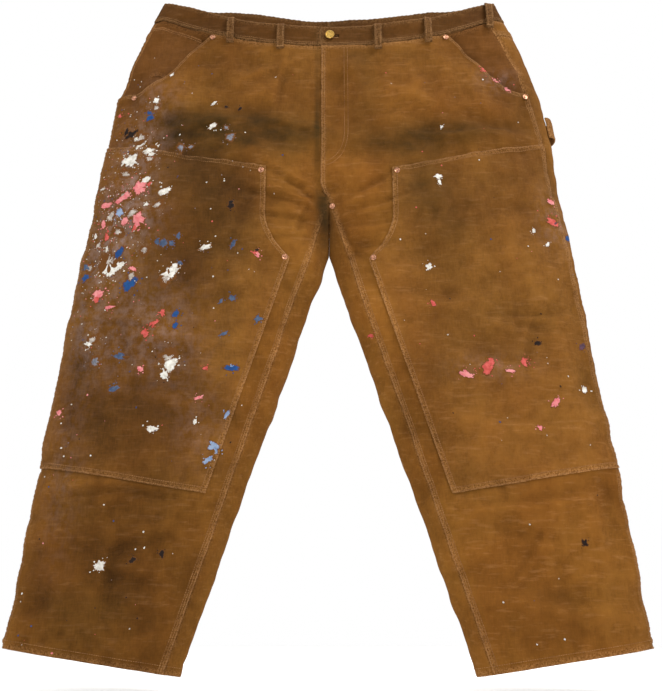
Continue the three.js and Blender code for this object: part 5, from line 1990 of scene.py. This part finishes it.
@dataclass
class Spatter:
    """Dried paint: ragged raised drops, each with finer specks around it, and scattered specks."""

    rise: float = 0.45 * MM
    sink: float = 0.3 * MM
    specks: int = 210
    dusty_specks: int = 420
    seed: int = 5
    marks: dict = field(default_factory=dict)

    def build(self) -> None:
        """Makes one mesh for each paint."""
        rng = np.random.default_rng(self.seed)
        for paint, marks in PAINT_MARKS.items():
            for x, z, radius in marks:
                self.splash(rng, paint, x * MM, z * MM, radius * MM)
        paints = (Paint.WHITE, Paint.WHITE, Paint.WHITE, Paint.PINK, Paint.CORAL, Paint.BLUE, Paint.GREY, Paint.BLACK)
        for _ in range(self.specks):
            right_leg = rng.random() < 0.72
            z = rng.uniform(-0.80, -0.10) if rng.random() < 0.85 else rng.uniform(-1.08, -0.8)
            outer = float(FORM.outer_fold(np.array(z)))
            inner = max(0.04, float(FORM.inseam_x(np.array(z))) + 0.02)
            x = mix(inner, outer - 0.01, rng.random() ** 0.6)
            paint = paints[rng.integers(len(paints))]
            self.drop(rng, paint, -x if right_leg else x, z, rng.uniform(0.5, 1.7) * MM, 1.0, 0.0)
        dusty = (Paint.WHITE, Paint.WHITE, Paint.WHITE, Paint.PINK, Paint.CORAL, Paint.GREY, Paint.BLUE)
        for _ in range(self.dusty_specks):
            z = rng.normal(-0.39, 0.11)
            outer = float(FORM.outer_fold(np.array(z)))
            x = outer - 0.006 - abs(rng.normal(0, 0.05))
            self.drop(rng, dusty[rng.integers(len(dusty))], -x, z, rng.uniform(0.35, 1.2) * MM, 1.3, rng.uniform(0, 3))
        for paint, parts in self.marks.items():
            piece = gathered(f"dried_paint_{paint.name.lower()}", [part[:2] for part in parts], 70)
            add_layer(piece, "cover", np.concatenate([part[2] for part in parts]))
            paint.finish().dress(piece)
            ride(piece, "trousers")
            log.info("%s: %d drops", piece.name, len(parts))

    def splash(self, rng: np.random.Generator, paint: Paint, x: float, z: float, radius: float) -> None:
        """Adds a drop, with some smaller ones thrown around it."""
        self.drop(rng, paint, x, z, radius, rng.uniform(1.0, 2.1), rng.uniform(0, np.pi))
        for _ in range(int(2 + 0.6 * radius / MM)):
            angle, reach = rng.uniform(0, 2 * np.pi), radius * rng.uniform(1.0, 2.0)
            size = rng.uniform(0.35, 1.1) * MM * (1 + 0.05 * radius / MM)
            self.drop(rng, paint, x + reach * np.cos(angle), z + reach * np.sin(angle), size, 1.2, angle)

    def drop(self, rng: np.random.Generator, paint: Paint, x: float, z: float, radius: float, stretch: float, tilt: float) -> None:
        """Adds one drop.

        Args:
            rng: The source of its ragged outline.
            paint: Its paint.
            x: Its place across, signed.
            z: Its height.
            radius: Its mean radius.
            stretch: How much longer than wide it is.
            tilt: The direction of its length.
        """
        around = 10 if radius < 2 * MM else 44
        radius *= 1.12
        angles = np.arange(around) * 2 * np.pi / around
        ragged = np.ones(around)
        for wave in range(2, 5 if around < 20 else 18):
            ragged += rng.normal(0, 0.26 / wave ** 0.85) * np.cos(wave * angles + rng.uniform(0, 2 * np.pi))
        ragged = np.clip(ragged, 0.4, 1.6)
        grow = min(1.0, 0.45 + radius / (6 * MM)) * (0.55 if paint is Paint.CHALK else 1.0)
        rings = ((1.0, -self.sink, 0.0), (0.94, 0.25 * self.rise, 0.3), (0.66, 0.8 * self.rise, 0.72), (0.33, self.rise, 1.1))
        side = LEFT if x >= 0 else RIGHT
        shares = np.concatenate([np.full(around, ring[0]) for ring in rings] + [[0.0], [0.0]])
        heights = np.concatenate([np.full(around, ring[1]) for ring in rings] + [[self.rise], [-self.sink]]) * grow
        cover = np.concatenate([np.full(around, ring[2]) for ring in rings] + [[1.3], [0.0]])
        outline = np.concatenate([np.tile(ragged, len(rings)), [0, 0]]) * radius * shares
        every = np.concatenate([np.tile(angles, len(rings)), [0, 0]])
        long, wide = outline * np.cos(every) * np.sqrt(stretch), outline * np.sin(every) / np.sqrt(stretch)
        across = long * np.cos(tilt) - wide * np.sin(tilt)
        up = long * np.sin(tilt) + wide * np.cos(tilt)
        zs = z + up
        turn = FORM.turn_at(np.full_like(zs, abs(x)), np.full_like(zs, z))
        step = 0.01
        span = np.linalg.norm(FORM.point(turn + step, zs, UNBOUND) - FORM.point(turn - step, zs, UNBOUND), axis=-1)
        turn = turn - side * across * 2 * step / span
        points, normals = FORM.place(side, turn, zs, 0.0)
        points = DRAPE.drop(points, normals) + normals * heights[:, None]
        faces, centre, bottom = [], len(rings) * around, len(rings) * around + 1
        for k in range(around):
            following = (k + 1) % around
            faces.append([bottom, following, k])
            for ring in range(len(rings) - 1):
                a, b = ring * around, (ring + 1) * around
                faces.append([a + k, a + following, b + following, b + k])
            inner = (len(rings) - 1) * around
            faces.append([inner + k, inner + following, centre])
        if self.faces_in(points, faces, normals):
            faces = [face[::-1] for face in faces]
        self.marks.setdefault(paint, []).append((points, faces, cover))

    @staticmethod
    def faces_in(points: Array, faces: list, normals: Array) -> bool:
        """Says whether a drop's upper faces point into the cloth."""
        a, b, c = points[faces[-1][0]], points[faces[-1][1]], points[faces[-1][2]]
        return float(np.cross(b - a, c - a) @ normals[0]) < 0


# ---- Stage ----


@dataclass
class Stage:
    """The pale floor, the studio light and the camera."""

    floor_z: float = -1.128
    tilt: float = math.radians(18)
    distance: float = 1.443
    aim_x: float = 0.004
    aim_z: float = -0.60886
    lens: float = 48.87

    def build(self) -> None:
        """Sets up everything round the object."""
        scene = bpy.context.scene
        data = bpy.data.cameras.new("camera")
        data.sensor_fit, data.sensor_width, data.lens = "HORIZONTAL", 36.0, self.lens
        camera = bpy.data.objects.new("camera", data)
        back = self.distance * math.cos(self.tilt)
        camera.location = (self.aim_x, -back, self.aim_z - self.distance * math.sin(self.tilt))
        camera.rotation_euler = (math.pi / 2 + self.tilt, 0.0, 0.0)
        scene.collection.objects.link(camera)
        scene.camera = camera
        scene.view_settings.view_transform = "Standard"
        floor = self.floor()
        world = bpy.data.worlds.new("studio")
        world.use_nodes = True
        world.node_tree.nodes["Background"].inputs[0].default_value = (1.0, 1.0, 1.0, 1.0)
        world.node_tree.nodes["Background"].inputs[1].default_value = 1.0
        scene.world = world
        self.lamp("key_light", (1.5, -1.2, 1.7), 62, 0.9)
        self.lamp("fill_light", (-1.9, -1.7, -0.2), 14, 1.6)
        self.lamp("back_light", (0.6, 2.6, 0.9), 40, 1.6)

    def floor(self) -> bpy.types.Object:
        """Makes the floor."""
        half = 9.0
        corners = np.array([(-half, -half, 0), (half, -half, 0), (half, half, 0), (-half, half, 0)], dtype=float)
        corners[:, 2] = self.floor_z
        floor = mesh_object("floor", corners, [[0, 1, 2, 3]])
        floor.data.materials.append(FLOOR_FINISH.material())
        return floor

    def lamp(self, name: str, place: tuple[float, float, float], power: float, size: float) -> None:
        """Adds a square area light that looks at the middle of the object."""
        data = bpy.data.lights.new(name, "AREA")
        data.energy, data.size = power, size
        light = bpy.data.objects.new(name, data)
        aim = np.array([0.0, 0.0, -0.5]) - np.array(place)
        light.location = place
        light.rotation_euler = (math.acos(-aim[2] / np.linalg.norm(aim)), 0.0, math.atan2(aim[1], aim[0]) - math.pi / 2)
        bpy.context.scene.collection.objects.link(light)


def main() -> None:
    """Builds the trousers piece by piece."""
    logging.basicConfig(level=logging.INFO, format="%(message)s")
    Stage().build()
    panels = Panels()
    doubles = DoubleFronts(panels)
    waist = Waist()
    pockets = Pockets(panels)
    for part in (panels, doubles, waist, pockets, Fly(panels)):
        part.build()
    DRAPE.close()
    for part in (panels, doubles, waist, pockets):
        part.sew()
    for group in STITCHES.groups:
        piece = STITCHES.build(group)
        if group == "left_front":
            fold_open(piece)
        else:
            ride(piece, "trousers")
    Hardware(panels, doubles, pockets).build()
    Spatter().build()


if __name__ == "__main__":
    main()
